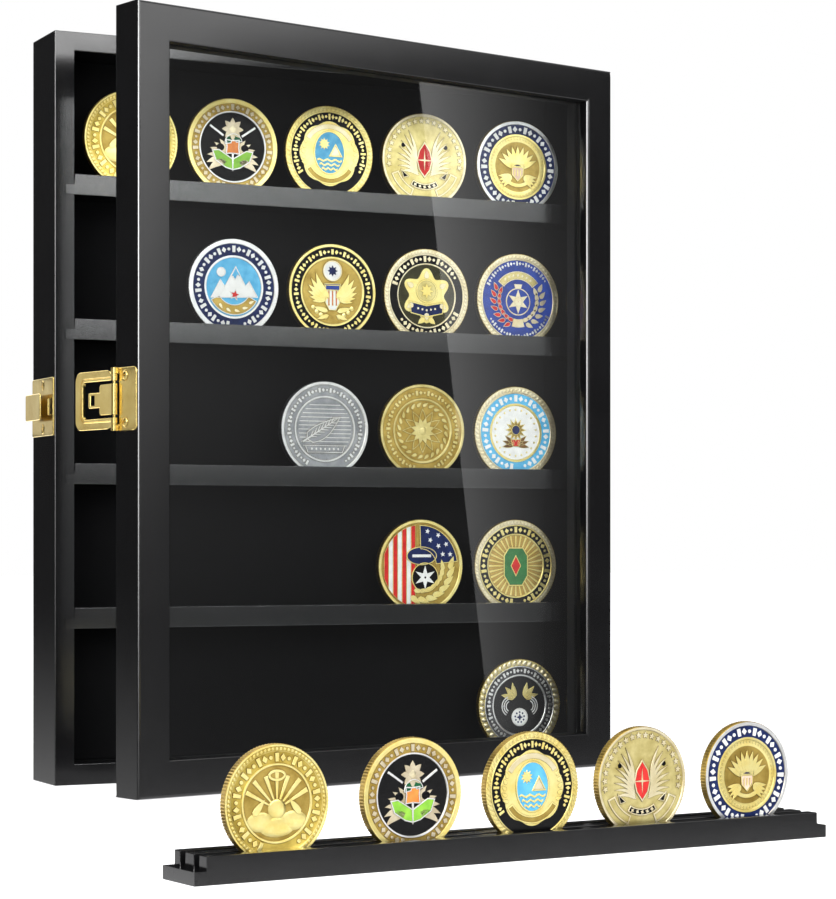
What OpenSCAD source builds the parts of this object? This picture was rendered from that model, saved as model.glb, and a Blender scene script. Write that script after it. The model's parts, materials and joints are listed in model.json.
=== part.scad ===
// Wall or table display case for coins, with removable grooved ledges and a hinged glazed door.
// The origin is the centre of the case's underside, +Y points to the wall, and the door faces -Y.
// The door stands ajar, and one ledge has been taken out and stands in front of the case.

/* [Case] */
// Outside width of the case
case_w = 286; // [280:1:340]
// Outside height of the case
case_h = 356; // [350:1:420]
// Depth from the front edge to the rear edge of the case
case_d = 34; // [32:0.5:60]
// Thickness of the two side boards
side_t = 9.5; // [8:0.5:12]
// Thickness of the top board
top_t = 9; // [6:0.5:14]
// Thickness of the bottom board, which is also the lowest ledge
bottom_t = 10; // [8:0.5:14]
// Thickness of the back board
back_t = 3; // [2:0.5:5]
// Distance from the rear edges of the case to the back board
back_inset = 3; // [2.5:0.5:8]
// Depth of the groove that holds the back board
back_groove = 3; // [1.5:0.5:4]
// Thickness of the felt-covered lining panel
lining_t = 1; // [0.5:0.25:3]
// Clearance round the back board and the lining panel
panel_clear = 0.1; // [0.05:0.05:0.3]

/* [Ledges] */
// Height of the lowest removable ledge's upper face over the bottom board
first_rise = 73.8; // [60:0.2:76]
// Height from the uppermost ledge to the top board
top_bay = 58; // [54:0.5:64]
// Height of a ledge at its front
ledge_h = 9.9; // [8:0.1:14]
// Depth of a ledge from front to back
ledge_d = 24; // [22:0.5:26]
// Length of the tab at each end of a ledge
tab_l = 4.6; // [3:0.1:6]
// Height of the tab at each end of a ledge
tab_h = 4.8; // [3:0.1:4.8]
// Clearance of a ledge between the sides and in its notches
ledge_clear = 0.25; // [0.1:0.05:0.5]
// Width of the ridge in front of the first groove
front_ridge = 5.6; // [4:0.1:7]
// Width of the ridge between the two grooves
middle_ridge = 6.4; // [4:0.1:7.5]
// Depth of the coin grooves in a ledge
groove_depth = 5; // [3:0.1:5]
// Depth of the coin grooves in the bottom board
floor_groove_depth = 3; // [2:0.1:5]

/* [Coins] */
// Gap between neighbouring coins in the case, which fill the rest of the row
coin_gap = 4.7; // [3:0.1:10]
// Room between the left side board and the first place of a row
left_room = 6.85; // [3:0.05:12]
// Room between the last coin of a row and the right side board
right_room = 3.85; // [3:0.05:12]
// Diameter of the coins on the free ledge
free_coin_d = 41; // [36:0.5:48]
// Room at the ends of the row of coins on the free ledge
free_room = 9.75; // [6:0.05:14]
// Distance that the coins on the free ledge stand to the right of its middle
free_shift = 1.5; // [0:0.1:3]
// Thickness of the coins at the rim
coin_t = 3.4; // [2.5:0.1:4]
// Width of a coin's raised rim
rim_w = 3; // [1.5:0.1:5]
// Depth of the field inside the rim on each face
field_depth = 0.35; // [0.2:0.05:0.6]
// Clearance on each side of a coin in its groove
coin_clear = 0.25; // [0.15:0.05:0.4]
// Clearance under a coin in its groove
coin_seat = 0.1; // [0.05:0.05:0.3]
// Most that a loose coin stands to one side of its place
coin_stray = 3; // [0:0.1:3]

/* [Free ledge] */
// Place of the free ledge's left front corner, across the case
free_x = -211.2; // [-260:0.1:-150]
// Place of the free ledge's left front corner, in front of the case
free_y = -380.3; // [-460:0.1:-370]
// Turn of the free ledge about the upright axis
free_turn = 6.3; // [0:0.05:12]

/* [Door] */
// Angle at which the door stands open
door_open = 12.9; // [5:0.1:60]
// Angle to which the door opens
door_max = 180; // [90:1:180]
// Thickness of the door frame
door_t = 19.5; // [17:0.5:24]
// Face width of the door frame
frame_w = 16.8; // [14:0.1:22]
// Gap between the closed door and the case
door_gap = 0.3; // [0.2:0.05:1]
// Height of the door's lower edge over the underside of the case
door_lift = 0.3; // [0.2:0.05:2]
// Thickness of the lip in front of the pane
lip_t = 5.4; // [3:0.1:8]
// Width of the rebate for the pane
rebate = 5; // [3.5:0.1:7]
// Thickness of the clear pane
pane_t = 2.5; // [2:0.1:4]
// Depth of the glazing beads behind the pane
bead_t = 7.3; // [4:0.1:7.5]
// Clearance round the pane
pane_clear = 0.3; // [0.1:0.05:0.5]

/* [Hinges] */
// Height of a hinge
hinge_l = 38; // [30:1:60]
// Distance from the door's ends to the middle of each hinge
hinge_inset = 60; // [40:1:100]
// Width of a hinge leaf from its pin
leaf_w = 13; // [11:0.5:15]
// Thickness of a hinge leaf
leaf_t = 1; // [0.8:0.1:1.2]
// Radius of a hinge knuckle
knuckle_r = 2; // [1.8:0.1:2.5]
// Radius of a hinge pin
pin_r = 1; // [0.8:0.05:1.2]
// Running clearance of the pins and the knuckles
pin_clear = 0.05; // [0.03:0.01:0.1]
// Gap between neighbouring knuckles along a pin
knuckle_gap = 0.3; // [0.2:0.05:0.6]

/* [Latch] */
// Height of the latch's middle over the underside
latch_z = 179; // [160:1:198]
// Height of the latch's base plate
latch_h = 28.4; // [28.4:0.2:34]
// Length of the latch's base plate from front to back
latch_base_l = 17.6; // [16:0.2:18]
// Thickness of the plates screwed to the wood
plate_t = 0.8; // [0.6:0.1:1]
// Distance from the wood to the latch pin's axis
latch_pin_out = 1.9; // [1.9:0.1:2.2]
// Radius of the latch knuckles
latch_knuckle_r = 1.6; // [1.4:0.05:1.6]
// Radius of the latch pin
latch_pin_r = 0.7; // [0.5:0.05:0.8]
// Distance from the latch pin's axis to the free end of the hasp ring
ring_l = 33.2; // [28:0.2:33.4]
// Height of the hasp ring
ring_h = 26.7; // [26:0.1:27]
// Height of the hasp ring's window
window_h = 16.8; // [16.4:0.1:17]
// Width of the hasp ring's free end bar
ring_bar = 7; // [5:0.1:9]
// Thickness of the hasp ring
ring_t = 1; // [0.8:0.1:1.2]
// Height of the raised edge round the hasp ring's window
ring_rim = 0.4; // [0.2:0.05:0.4]
// Height of the tongue
tongue_h = 13.9; // [12:0.1:14]
// Distance from the latch pin's axis to the tongue's shoulder
tongue_l = 12.4; // [10:0.1:14]
// Height of the tongue's narrow end
neck_h = 7.1; // [6:0.1:9]
// Distance from the latch pin's axis to the tongue's free end
neck_end = 21.9; // [20:0.1:23]
// Thickness of the tongue
tongue_t = 0.8; // [0.6:0.1:1]
// Height of the keeper plate
keeper_h = 27.6; // [27:0.2:32]
// Height of the keeper's hook strap
hook_h = 12.6; // [10:0.1:13]
// Room under the hook strap, measured from the wood
hook_room = 3.9; // [3.9:0.1:5]
// Distance from the case's front edge to the free end of the hook strap
hook_start = 8.8; // [7:0.1:12]
// Distance from the case's front edge to the back of the hook strap
hook_end = 31.4; // [31.4:0.1:31.6]

/* [Fasteners] */
// Radius of the screw heads
screw_head_r = 2.2; // [1.8:0.1:2.4]
// Radius of the screw shanks
screw_r = 1.1; // [0.8:0.05:1.2]
// Length of the screws
screw_l = 4.4; // [3.5:0.1:4.4]
// Clearance round screws and nails
screw_clear = 0.05; // [0.03:0.01:0.1]
// Distance of the screws above and below the middle of a latch plate
latch_screw_dz = 10.4; // [9.8:0.1:10.6]
// Distance from the case's front edge to the keeper's screws
keeper_screw_in = 16; // [14:0.5:20]
// Distance from the door's back face to the screws of the latch's base plate
base_screw_in = 9.8; // [9:0.1:11]
// Distance from the door's back face to the latch pin's axis
latch_pin_in = 2.7; // [2.5:0.1:3]
// Distance from a hinge leaf's ends to its screws
leaf_screw_end = 7; // [5:0.5:8]
// Distance from a hinge leaf's free edge to its screws
leaf_screw_edge = 5; // [4:0.5:6]
// Radius of the hanger nails
nail_r = 0.6; // [0.5:0.05:0.8]
// Length of the hanger nails
nail_l = 2.4; // [2:0.1:2.6]

/* [Wall hangers] */
// Length of a toothed wall hanger
hanger_l = 44; // [36:1:60]
// Height of a toothed wall hanger
hanger_h = 8; // [7:0.5:10]
// Thickness of the hanger strip
hanger_t = 0.8; // [0.6:0.1:1]
// Distance from the case's sides to the middle of the hangers
hanger_inset = 53; // [40:1:100]
// Distance from the top of the case to the middle of the hangers
hanger_drop = 26; // [20:1:60]

/* [Hidden] */
$fn = 48;
wood = "#1d1d1f";
gold = "#d8b04a";
silver = "#b9bbbd";
eps = 0.01;

front_y = -case_d / 2;
rear_y = case_d / 2;
inner_w = case_w - 2 * side_t;
inner_h = case_h - top_t - bottom_t;
back_y = rear_y - back_inset - back_t;
lining_y = back_y - lining_t - panel_clear;

rows = 4;
cols = 5;
row_pitch = (inner_h - first_rise - top_bay) / (rows - 1);
function ledge_top(i) = bottom_t + first_rise + i * row_pitch;
block_l = inner_w - 2 * ledge_clear;
base_l = block_l + 2 * tab_l;
groove_w = coin_t + 2 * coin_clear;
groove_1 = front_ridge;
groove_2 = front_ridge + groove_w + middle_ridge;
coin_y = front_y + groove_1 + groove_w / 2;
coin_d = (inner_w - left_room - right_room - (cols - 1) * coin_gap) / cols;
coin_pitch = coin_d + coin_gap;
free_pitch = (block_l - 2 * free_room - free_coin_d) / (cols - 1);

door_back_y = front_y - door_gap;
door_front_y = door_back_y - door_t;
door_x0 = -case_w / 2;
door_x1 = case_w / 2;
door_z0 = door_lift;
door_z1 = case_h;

knuckle_off = knuckle_r + 2 * pin_clear;
hinge_x = case_w / 2 + knuckle_off;
hinge_y = front_y - door_gap / 2;
hinge_z = [door_z0 + hinge_inset, door_z1 - hinge_inset];
knuckle_l = (hinge_l - 2 * knuckle_gap) / 3;
leaf_screw_dz = hinge_l / 2 - leaf_screw_end;
leaf_screw_u = leaf_w - leaf_screw_edge;

latch_x = -case_w / 2;
latch_y = door_back_y - latch_pin_in;
arm_h = (ring_h - window_h) / 2;
ring_knuckle_z0 = window_h / 2;
ring_knuckle_z1 = latch_h / 2 - 3.1;
base_knuckle_z0 = ring_knuckle_z1 + knuckle_gap;
ring_in = latch_pin_out - 0.7;
keeper_y0 = front_y + 0.8;
keeper_y1 = rear_y - 1;
keeper_screw_y = front_y + keeper_screw_in;
base_screw_y = door_back_y - base_screw_in;
window_corner_r = 2;

ledge_names = [for (i = [0:rows - 1]) str("ledge_", i + 1)];
coin_names = [for (i = [0:rows]) for (j = [i:cols - 1]) str("coin_row", i + 1, "_", j + 1)];
coin_cells = [for (i = [0:rows]) for (j = [i:cols - 1]) [i, j]];
free_coin_names = [for (j = [0:cols - 1]) str("free_coin_", j + 1)];

// A plate's outline with rounded corners, centred on the origin
module rounded_rect(w, h, r) {
  square([w - 2 * r, h], center = true);
  square([w, h - 2 * r], center = true);
  for (x = [-1, 1], y = [-1, 1])
    translate([x * (w / 2 - r), y * (h / 2 - r)])
      circle(r);
}

// Countersunk screw that is driven along -Z from a surface at z = 0
module screw(grow = 0) {
  head_depth = screw_head_r - screw_r;
  translate([0, 0, -head_depth])
    cylinder(r1 = screw_r + grow, r2 = screw_head_r + grow, h = head_depth + (grow > 0 ? eps : 0));
  translate([0, 0, -screw_l - grow])
    cylinder(r = screw_r + grow, h = screw_l + grow);
}

// The same screw with a cross recess in its head
module cross_screw() {
  difference() {
    screw();
    for (a = [0, 90])
      rotate([0, 0, a + 20])
        cube([screw_head_r * 1.2, screw_head_r * 0.22, screw_head_r * 0.32], center = true);
  }
}

// Turns things drawn on the closed door to where the door stands open
module on_door() {
  translate([hinge_x, hinge_y, 0])
    rotate([0, 0, door_open])
      translate([-hinge_x, -hinge_y, 0])
        children();
}

// Sets things that stand on +Z against a left face of the wood, with their +X pointing to the wall
module on_left_face(y, z) {
  translate([latch_x, y, z])
    rotate([0, -90, 0])
      rotate([0, 0, 90])
        children();
}

// Sets things that stand on +Z against the right face of the case or the closed door
module on_right_face(y, z) {
  translate([case_w / 2, y, z])
    rotate([0, 90, 0])
      children();
}

module latch_base_screw_places() {
  for (s = [-1, 1])
    on_left_face(base_screw_y, latch_z + s * latch_screw_dz)
      translate([0, 0, plate_t])
        children();
}

module keeper_screw_places() {
  for (s = [-1, 1])
    on_left_face(keeper_screw_y, latch_z + s * latch_screw_dz)
      translate([0, 0, plate_t])
        children();
}

module leaf_screw_places(side) {
  for (z = hinge_z, s = [-1, 1])
    on_right_face(hinge_y + side * leaf_screw_u, z + s * leaf_screw_dz)
      translate([0, 0, leaf_t])
        children();
}

module side_board(x0, inner) {
  difference() {
    translate([x0, front_y, 0])
      cube([side_t, case_d, case_h]);
    for (i = [0:rows - 1])
      translate([inner > 0 ? x0 + side_t - tab_l : x0 - eps, front_y - eps, ledge_top(i) - ledge_h])
        cube([tab_l + eps, ledge_d + ledge_clear + eps, tab_h + ledge_clear]);
    translate([
      inner > 0 ? x0 + side_t - back_groove : x0 - eps,
      back_y - panel_clear,
      bottom_t - back_groove
    ])
      cube([back_groove + eps, back_t + 2 * panel_clear, inner_h + 2 * back_groove]);
  }
}

module left_side() {
  color(wood)
    difference() {
      side_board(-case_w / 2, 1);
      keeper_screw_places() screw(screw_clear);
    }
}

module right_side() {
  color(wood)
    difference() {
      side_board(case_w / 2 - side_t, -1);
      leaf_screw_places(1) screw(screw_clear);
    }
}

module top_board() {
  color(wood)
    difference() {
      translate([-inner_w / 2, front_y, case_h - top_t])
        cube([inner_w, case_d, top_t]);
      translate([-inner_w / 2 - eps, back_y - panel_clear, case_h - top_t - eps])
        cube([inner_w + 2 * eps, back_t + 2 * panel_clear, back_groove + eps]);
    }
}

module bottom_board() {
  color(wood)
    difference() {
      translate([-inner_w / 2, front_y, 0])
        cube([inner_w, case_d, bottom_t]);
      for (g = [groove_1, groove_2])
        translate([-inner_w / 2 - eps, front_y + g, bottom_t - floor_groove_depth])
          cube([inner_w + 2 * eps, groove_w, floor_groove_depth + eps]);
      translate([-inner_w / 2 - eps, back_y - panel_clear, bottom_t - back_groove])
        cube([inner_w + 2 * eps, back_t + 2 * panel_clear, back_groove + eps]);
    }
}

module back_board() {
  reach = back_groove - panel_clear;
  color(wood)
    difference() {
      translate([-inner_w / 2 - reach, back_y, bottom_t - reach])
        cube([inner_w + 2 * reach, back_t, inner_h + 2 * reach]);
      hanger_nail_places() nail(screw_clear);
    }
}

module lining_panel() {
  color("#0b0b0c")
    translate([-inner_w / 2 + panel_clear, lining_y, bottom_t + panel_clear])
      cube([inner_w - 2 * panel_clear, lining_t, inner_h - 2 * panel_clear]);
}

// One ledge from the lower left front corner of its base strip
module ledge() {
  color(wood)
    difference() {
      union() {
        cube([base_l, ledge_d, tab_h]);
        translate([tab_l, 0, 0])
          cube([block_l, ledge_d, ledge_h]);
      }
      for (g = [groove_1, groove_2])
        translate([-eps, g, ledge_h - groove_depth])
          cube([base_l + 2 * eps, groove_w, groove_depth + eps]);
    }
}

module case_ledge(i) {
  translate([-base_l / 2, front_y, ledge_top(i) - ledge_h])
    ledge();
}

module at_free_ledge() {
  translate([free_x, free_y, 0])
    rotate([0, 0, free_turn])
      children();
}

// A coin with a raised rim and boss, standing on z = 0 and facing -Y
module coin(d) {
  translate([0, 0, d / 2])
    rotate([90, 0, 0])
      difference() {
        cylinder(d = d, h = coin_t, center = true);
        for (s = [-1, 1])
          translate([0, 0, s * coin_t / 2])
            difference() {
              cylinder(d = d - 2 * rim_w, h = 2 * field_depth, center = true);
              cylinder(d = d * 0.62, h = 2 * field_depth, center = true);
            }
      }
}

// Share of the stray by which each coin stands off its place, a row of the case at a time
strays = [
  [0, 0, -0.2, -0.1, 0.25],
  [0, 0.2, 0.35, 0.3, 0.35],
  [0, 0, -1, -0.45, -0.1],
  [0, 0, 0, -0.8, -0.1],
  [0, 0, 0, 0, 0.65]
];
free_strays = [-0.55, 0.55, 0.5, -0.05, -0.45];

function coin_x(i, j) =
  -inner_w / 2 + left_room + coin_d / 2 + j * coin_pitch + strays[i][j] * coin_stray;
function coin_floor(i) =
  i == rows ? bottom_t - floor_groove_depth : ledge_top(rows - 1 - i) - groove_depth;

module case_coin(i, j) {
  color(i == 2 && j == 2 ? silver : gold)
    translate([coin_x(i, j), coin_y, coin_floor(i) + coin_seat])
      coin(coin_d);
}

module free_coin(j) {
  color(gold)
    at_free_ledge()
      translate([
        base_l / 2 + free_shift + (j - (cols - 1) / 2) * free_pitch + free_strays[j] * coin_stray,
        groove_1 + groove_w / 2,
        ledge_h - groove_depth + coin_seat
      ])
        coin(free_coin_d);
}

// Outline of one mitred side of a rectangular frame, seen from the front
function frame_side(side, x0, z0, x1, z1, w) =
  side == "left" ? [[x0, z0], [x0 + w, z0 + w], [x0 + w, z1 - w], [x0, z1]] :
  side == "right" ? [[x1, z0], [x1, z1], [x1 - w, z1 - w], [x1 - w, z0 + w]] :
  side == "top" ? [[x0, z1], [x0 + w, z1 - w], [x1 - w, z1 - w], [x1, z1]] :
  [[x0, z0], [x1, z0], [x1 - w, z0 + w], [x0 + w, z0 + w]];

// A flat outline in the door's plane, given its front and its thickness
module in_door_plane(y0, t) {
  translate([0, y0 + t, 0])
    rotate([90, 0, 0])
      linear_extrude(t)
        children();
}

module frame_member(side) {
  in_door_plane(door_front_y, lip_t)
    polygon(frame_side(side, door_x0, door_z0, door_x1, door_z1, frame_w));
  in_door_plane(door_front_y + lip_t - eps, door_t - lip_t + eps)
    polygon(frame_side(side, door_x0, door_z0, door_x1, door_z1, frame_w - rebate));
}

module left_stile() {
  color(wood)
    on_door()
      difference() {
        frame_member("left");
        latch_base_screw_places() screw(screw_clear);
      }
}

module right_stile() {
  color(wood)
    on_door()
      difference() {
        frame_member("right");
        leaf_screw_places(-1) screw(screw_clear);
      }
}

module top_rail() {
  color(wood) on_door() frame_member("top");
}

module bottom_rail() {
  color(wood) on_door() frame_member("bottom");
}

pocket_x0 = door_x0 + frame_w - rebate;
pocket_x1 = door_x1 - frame_w + rebate;
pocket_z0 = door_z0 + frame_w - rebate;
pocket_z1 = door_z1 - frame_w + rebate;
bead_y = door_front_y + lip_t + pane_t;

module pane() {
  color([0.8, 0.85, 0.9, 0.25])
    on_door()
      translate([pocket_x0 + pane_clear, door_front_y + lip_t, pocket_z0 + pane_clear])
        cube([
          pocket_x1 - pocket_x0 - 2 * pane_clear,
          pane_t,
          pocket_z1 - pocket_z0 - 2 * pane_clear
        ]);
}

module bead(side) {
  color(wood)
    on_door()
      in_door_plane(bead_y, bead_t)
        polygon(frame_side(side, pocket_x0, pocket_z0, pocket_x1, pocket_z1, rebate));
}

// One leaf of a hinge: side is 1 for the case and -1 for the door
module hinge_leaf(z, side) {
  color(gold)
    translate([hinge_x, hinge_y, z])
      difference() {
        union() {
          translate([-knuckle_off, side > 0 ? 0.5 : -leaf_w, -hinge_l / 2])
            cube([leaf_t, leaf_w - 0.5, hinge_l]);
          own_knuckles(side, knuckle_r, 0);
        }
        own_knuckles(-side, knuckle_r + knuckle_gap, knuckle_gap);
        cylinder(r = pin_r + pin_clear, h = hinge_l + 1, center = true);
        translate([-hinge_x, -hinge_y, -z])
          leaf_screw_places(side) screw(screw_clear);
      }
}

// Knuckles of a leaf: the two outer ones on the case, the middle one on the door
module own_knuckles(side, r, grow) {
  if (side > 0)
    for (s = [-1, 1])
      translate([0, 0, s * (hinge_l - knuckle_l) / 2])
        cylinder(r = r, h = knuckle_l + 2 * grow, center = true);
  else
    cylinder(r = r, h = knuckle_l + 2 * grow, center = true);
}

module hinge_pin(z) {
  color(gold)
    translate([hinge_x, hinge_y, z]) {
      cylinder(r = pin_r, h = hinge_l, center = true);
      for (s = [-1, 1])
        translate([0, 0, s * (hinge_l / 2 + 0.5)])
          cylinder(r = knuckle_r * 0.8, h = 1, center = true);
    }
}

module case_leaf_screws() {
  color(gold) leaf_screw_places(1) cross_screw();
}

module door_leaf_screws() {
  color(gold) on_door() leaf_screw_places(-1) cross_screw();
}

// Turns things drawn beside the latch pin, with +X away from the door and +Z out of the wood
module at_latch_pin() {
  on_door()
    on_left_face(latch_y, latch_z)
      children();
}

// A knuckle or a pair of knuckles on the latch pin, between two heights
module latch_knuckle(z0, z1, r) {
  translate([0, z0, latch_pin_out])
    rotate([-90, 0, 0])
      cylinder(r = r, h = z1 - z0);
}

module latch_bore() {
  latch_knuckle(-latch_h, latch_h, latch_pin_r + pin_clear);
}

module latch_base() {
  knuckle_l = latch_h / 2 - base_knuckle_z0;
  color(gold)
    difference() {
      union() {
        at_latch_pin()
          difference() {
            translate([1.5 - latch_base_l / 2, 0, 0])
              linear_extrude(plate_t)
                rounded_rect(latch_base_l, latch_h, 2.4);
            translate([-latch_knuckle_r - 0.4, -base_knuckle_z0, -1])
              cube([latch_base_l, 2 * base_knuckle_z0, 3]);
          }
        at_latch_pin()
          for (s = [-1, 1])
            latch_knuckle(
              min(s * base_knuckle_z0, s * latch_h / 2),
              max(s * base_knuckle_z0, s * latch_h / 2),
              latch_knuckle_r
            );
      }
      at_latch_pin() latch_bore();
      on_door() latch_base_screw_places() screw(screw_clear);
    }
}

module latch_pin() {
  color(gold)
    at_latch_pin()
      latch_knuckle(-latch_h / 2, latch_h / 2, latch_pin_r);
}

module latch_base_screws() {
  color(gold) on_door() latch_base_screw_places() cross_screw();
}

// Ring plate with a window that is open at the pin, a raised edge and two knuckles
module hasp_ring() {
  window_l = ring_l - ring_bar;
  plate_x0 = latch_knuckle_r + ring_rim;
  reach = latch_knuckle_r + 1.5 * ring_rim;
  cut_h = 4 * latch_pin_out;
  plate_l = ring_l - plate_x0;
  color(gold)
    at_latch_pin()
      difference() {
        union() {
          translate([plate_x0 + plate_l / 2, 0, ring_in])
            linear_extrude(ring_t)
              rounded_rect(plate_l, ring_h, 4.5);
          translate([window_l / 2, 0, ring_in + ring_t - eps])
            linear_extrude(ring_rim + eps)
              rounded_rect(window_l + 3, window_h + 3, window_corner_r + 1.5);
          for (s = [-1, 1])
            translate([plate_x0 / 2 + 1, s * (ring_knuckle_z0 + ring_knuckle_z1) / 2, ring_in + ring_t / 2])
              cube([plate_x0 + 2, ring_knuckle_z1 - ring_knuckle_z0, ring_t], center = true);
          for (s = [-1, 1])
            latch_knuckle(
              min(s * ring_knuckle_z0, s * ring_knuckle_z1),
              max(s * ring_knuckle_z0, s * ring_knuckle_z1),
              latch_knuckle_r
            );
        }
        translate([window_l / 2, 0, 0])
          linear_extrude(cut_h)
            rounded_rect(window_l, window_h, window_corner_r);
        translate([-latch_knuckle_r, -window_h / 2, -1])
          cube([window_l / 2 + latch_knuckle_r, window_h, cut_h]);
        for (s = [-1, 1])
          translate([-reach, s > 0 ? ring_knuckle_z1 : -ring_knuckle_z1 - arm_h, ring_in - 1])
            cube([reach + plate_x0, arm_h, cut_h]);
        latch_bore();
      }
}

module hasp_tongue() {
  slot_l = 3.6;
  slot_h = 4.6;
  tongue_z = latch_pin_out - tongue_t / 2;
  color(gold)
    at_latch_pin()
      difference() {
        union() {
          latch_knuckle(-tongue_h / 2, tongue_h / 2, latch_knuckle_r);
          translate([0, -tongue_h / 2, tongue_z])
            cube([tongue_l - 2, tongue_h, tongue_t]);
          translate([tongue_l / 2, 0, tongue_z])
            linear_extrude(tongue_t)
              rounded_rect(tongue_l, tongue_h, 1.5);
          translate([(tongue_l + neck_end) / 2 - 1, 0, tongue_z])
            linear_extrude(tongue_t)
              rounded_rect(neck_end - tongue_l + 2, neck_h, 1);
        }
        translate([neck_end - 1.7 - slot_l / 2, 0, 0])
          cube([slot_l, slot_h, 8], center = true);
        latch_bore();
      }
}

module keeper() {
  plate_l = keeper_y1 - keeper_y0;
  strap_t = plate_t;
  strap_l = hook_end - hook_start;
  lug_l = 6.6;
  lug_h = 7.6;
  color(gold)
    difference() {
      union() {
        on_left_face((keeper_y0 + keeper_y1) / 2, latch_z)
          linear_extrude(plate_t)
            rounded_rect(plate_l, keeper_h, 1.2);
        on_left_face(front_y + (hook_start + hook_end) / 2, latch_z)
          translate([0, 0, hook_room])
            linear_extrude(strap_t)
              rounded_rect(strap_l, hook_h, 1.6);
        on_left_face(front_y + hook_end - strap_t / 2, latch_z)
          translate([-strap_t / 2, -hook_h / 2 + 1.6, 0])
            cube([strap_t, hook_h - 3.2, hook_room + strap_t / 2]);
      }
      on_left_face(keeper_y0 + 1.4 + lug_l / 2, latch_z)
        translate([-lug_l / 2, -lug_h / 2, -1])
          cube([lug_l, lug_h, 3]);
      keeper_screw_places() screw(screw_clear);
    }
}

module keeper_screws() {
  color(gold) keeper_screw_places() cross_screw();
}

// Nail that is driven along -Z from a surface at z = 0
module nail(grow = 0) {
  translate([0, 0, -nail_l - grow])
    cylinder(r = nail_r + grow, h = nail_l + grow + nail_r / 3);
  if (grow == 0)
    cylinder(r = 3 * nail_r, h = nail_r);
}

hanger_z = case_h - hanger_drop;
hanger_x = case_w / 2 - hanger_inset;
hanger_foot = hanger_h * 0.8;

// The four nail places, on the outer faces of the hangers' feet
module hanger_nail_places() {
  for (x = [-1, 1], s = [-1, 1])
    translate([
      x * hanger_x + s * (hanger_l - hanger_foot) / 2,
      back_y + back_t + hanger_t,
      hanger_z
    ])
      rotate([-90, 0, 0])
        children();
}

// Toothed strip that stands off the back board on two flat feet
module wall_hanger() {
  foot = hanger_foot;
  step_out = hanger_t;
  bar_l = hanger_l - 2 * foot;
  teeth = 9;
  tooth = bar_l / teeth;
  flat = tooth / 12;
  for (s = [-1, 1]) {
    translate([s * (hanger_l - foot) / 2, 0, hanger_t / 2])
      cube([foot, hanger_h, hanger_t], center = true);
    translate([s * (bar_l + hanger_t) / 2, 0, (hanger_t + step_out) / 2])
      cube([hanger_t, hanger_h, hanger_t + step_out], center = true);
  }
  translate([0, 0, step_out])
    linear_extrude(hanger_t)
      difference() {
        square([bar_l + hanger_t / 2, hanger_h], center = true);
        for (k = [0:teeth - 1])
          translate([(k - (teeth - 1) / 2) * tooth, -hanger_h / 2 - eps])
            polygon([[-tooth / 2 + flat, 0], [0, tooth / 2], [tooth / 2 - flat, 0]]);
      }
}

module wall_hangers() {
  color(silver)
    difference() {
      for (x = [-1, 1])
        translate([x * hanger_x, back_y + back_t, hanger_z])
          rotate([-90, 0, 0])
            rotate([0, 0, 180])
              wall_hanger();
      hanger_nail_places() nail(screw_clear);
    }
}

module hanger_nails() {
  color(silver) hanger_nail_places() nail();
}

left_side();
right_side();
top_board();
bottom_board();
back_board();
lining_panel();
for (i = [0:rows - 1])
  case_ledge(rows - 1 - i);
at_free_ledge() ledge();  // free_ledge
left_stile();
right_stile();
top_rail();
bottom_rail();
pane();
bead("left");  // left_bead
bead("right");  // right_bead
bead("top");  // top_bead
bead("bottom");  // bottom_bead
hinge_leaf(hinge_z[1], 1);  // upper_case_leaf
hinge_leaf(hinge_z[0], 1);  // lower_case_leaf
on_door() hinge_leaf(hinge_z[1], -1);  // upper_door_leaf
on_door() hinge_leaf(hinge_z[0], -1);  // lower_door_leaf
hinge_pin(hinge_z[1]);  // upper_hinge_pin
hinge_pin(hinge_z[0]);  // lower_hinge_pin
case_leaf_screws();
door_leaf_screws();
latch_base();
latch_pin();
latch_base_screws();
hasp_ring();
hasp_tongue();
keeper();
keeper_screws();
wall_hangers();
hanger_nails();
for (n = [0:len(coin_cells) - 1])
  case_coin(coin_cells[n][0], coin_cells[n][1]);
for (j = [0:cols - 1])
  free_coin(j);
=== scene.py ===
# %% [markdown]
# # Coin display case
# The case is a black lacquered wooden box with a glazed door, brass fittings and rows of coins.
# Every size comes from the imported model, so the script starts by loading it as a fixed frame.

import bmesh
import bpy
import json
import math
from mathutils import Matrix, Vector

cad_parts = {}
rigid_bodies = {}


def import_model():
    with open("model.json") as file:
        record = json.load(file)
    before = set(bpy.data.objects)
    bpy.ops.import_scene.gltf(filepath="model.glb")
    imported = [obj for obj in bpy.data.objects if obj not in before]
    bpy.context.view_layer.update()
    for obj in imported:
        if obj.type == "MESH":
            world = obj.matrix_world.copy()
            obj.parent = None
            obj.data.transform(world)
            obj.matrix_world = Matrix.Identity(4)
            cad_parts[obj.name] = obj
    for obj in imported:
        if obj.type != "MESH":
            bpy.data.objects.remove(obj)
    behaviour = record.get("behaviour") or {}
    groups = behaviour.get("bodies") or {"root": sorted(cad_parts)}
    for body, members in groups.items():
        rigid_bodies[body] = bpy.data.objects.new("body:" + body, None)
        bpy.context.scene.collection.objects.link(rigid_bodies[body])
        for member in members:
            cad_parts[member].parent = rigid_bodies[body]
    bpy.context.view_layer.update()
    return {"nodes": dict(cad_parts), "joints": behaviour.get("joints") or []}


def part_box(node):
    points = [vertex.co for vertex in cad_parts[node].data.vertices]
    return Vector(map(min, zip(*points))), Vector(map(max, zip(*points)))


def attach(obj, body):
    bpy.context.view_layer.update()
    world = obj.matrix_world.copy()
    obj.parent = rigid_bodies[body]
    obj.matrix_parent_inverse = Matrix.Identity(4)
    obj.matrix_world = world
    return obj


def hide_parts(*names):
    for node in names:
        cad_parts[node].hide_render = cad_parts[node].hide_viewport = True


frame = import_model()
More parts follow.
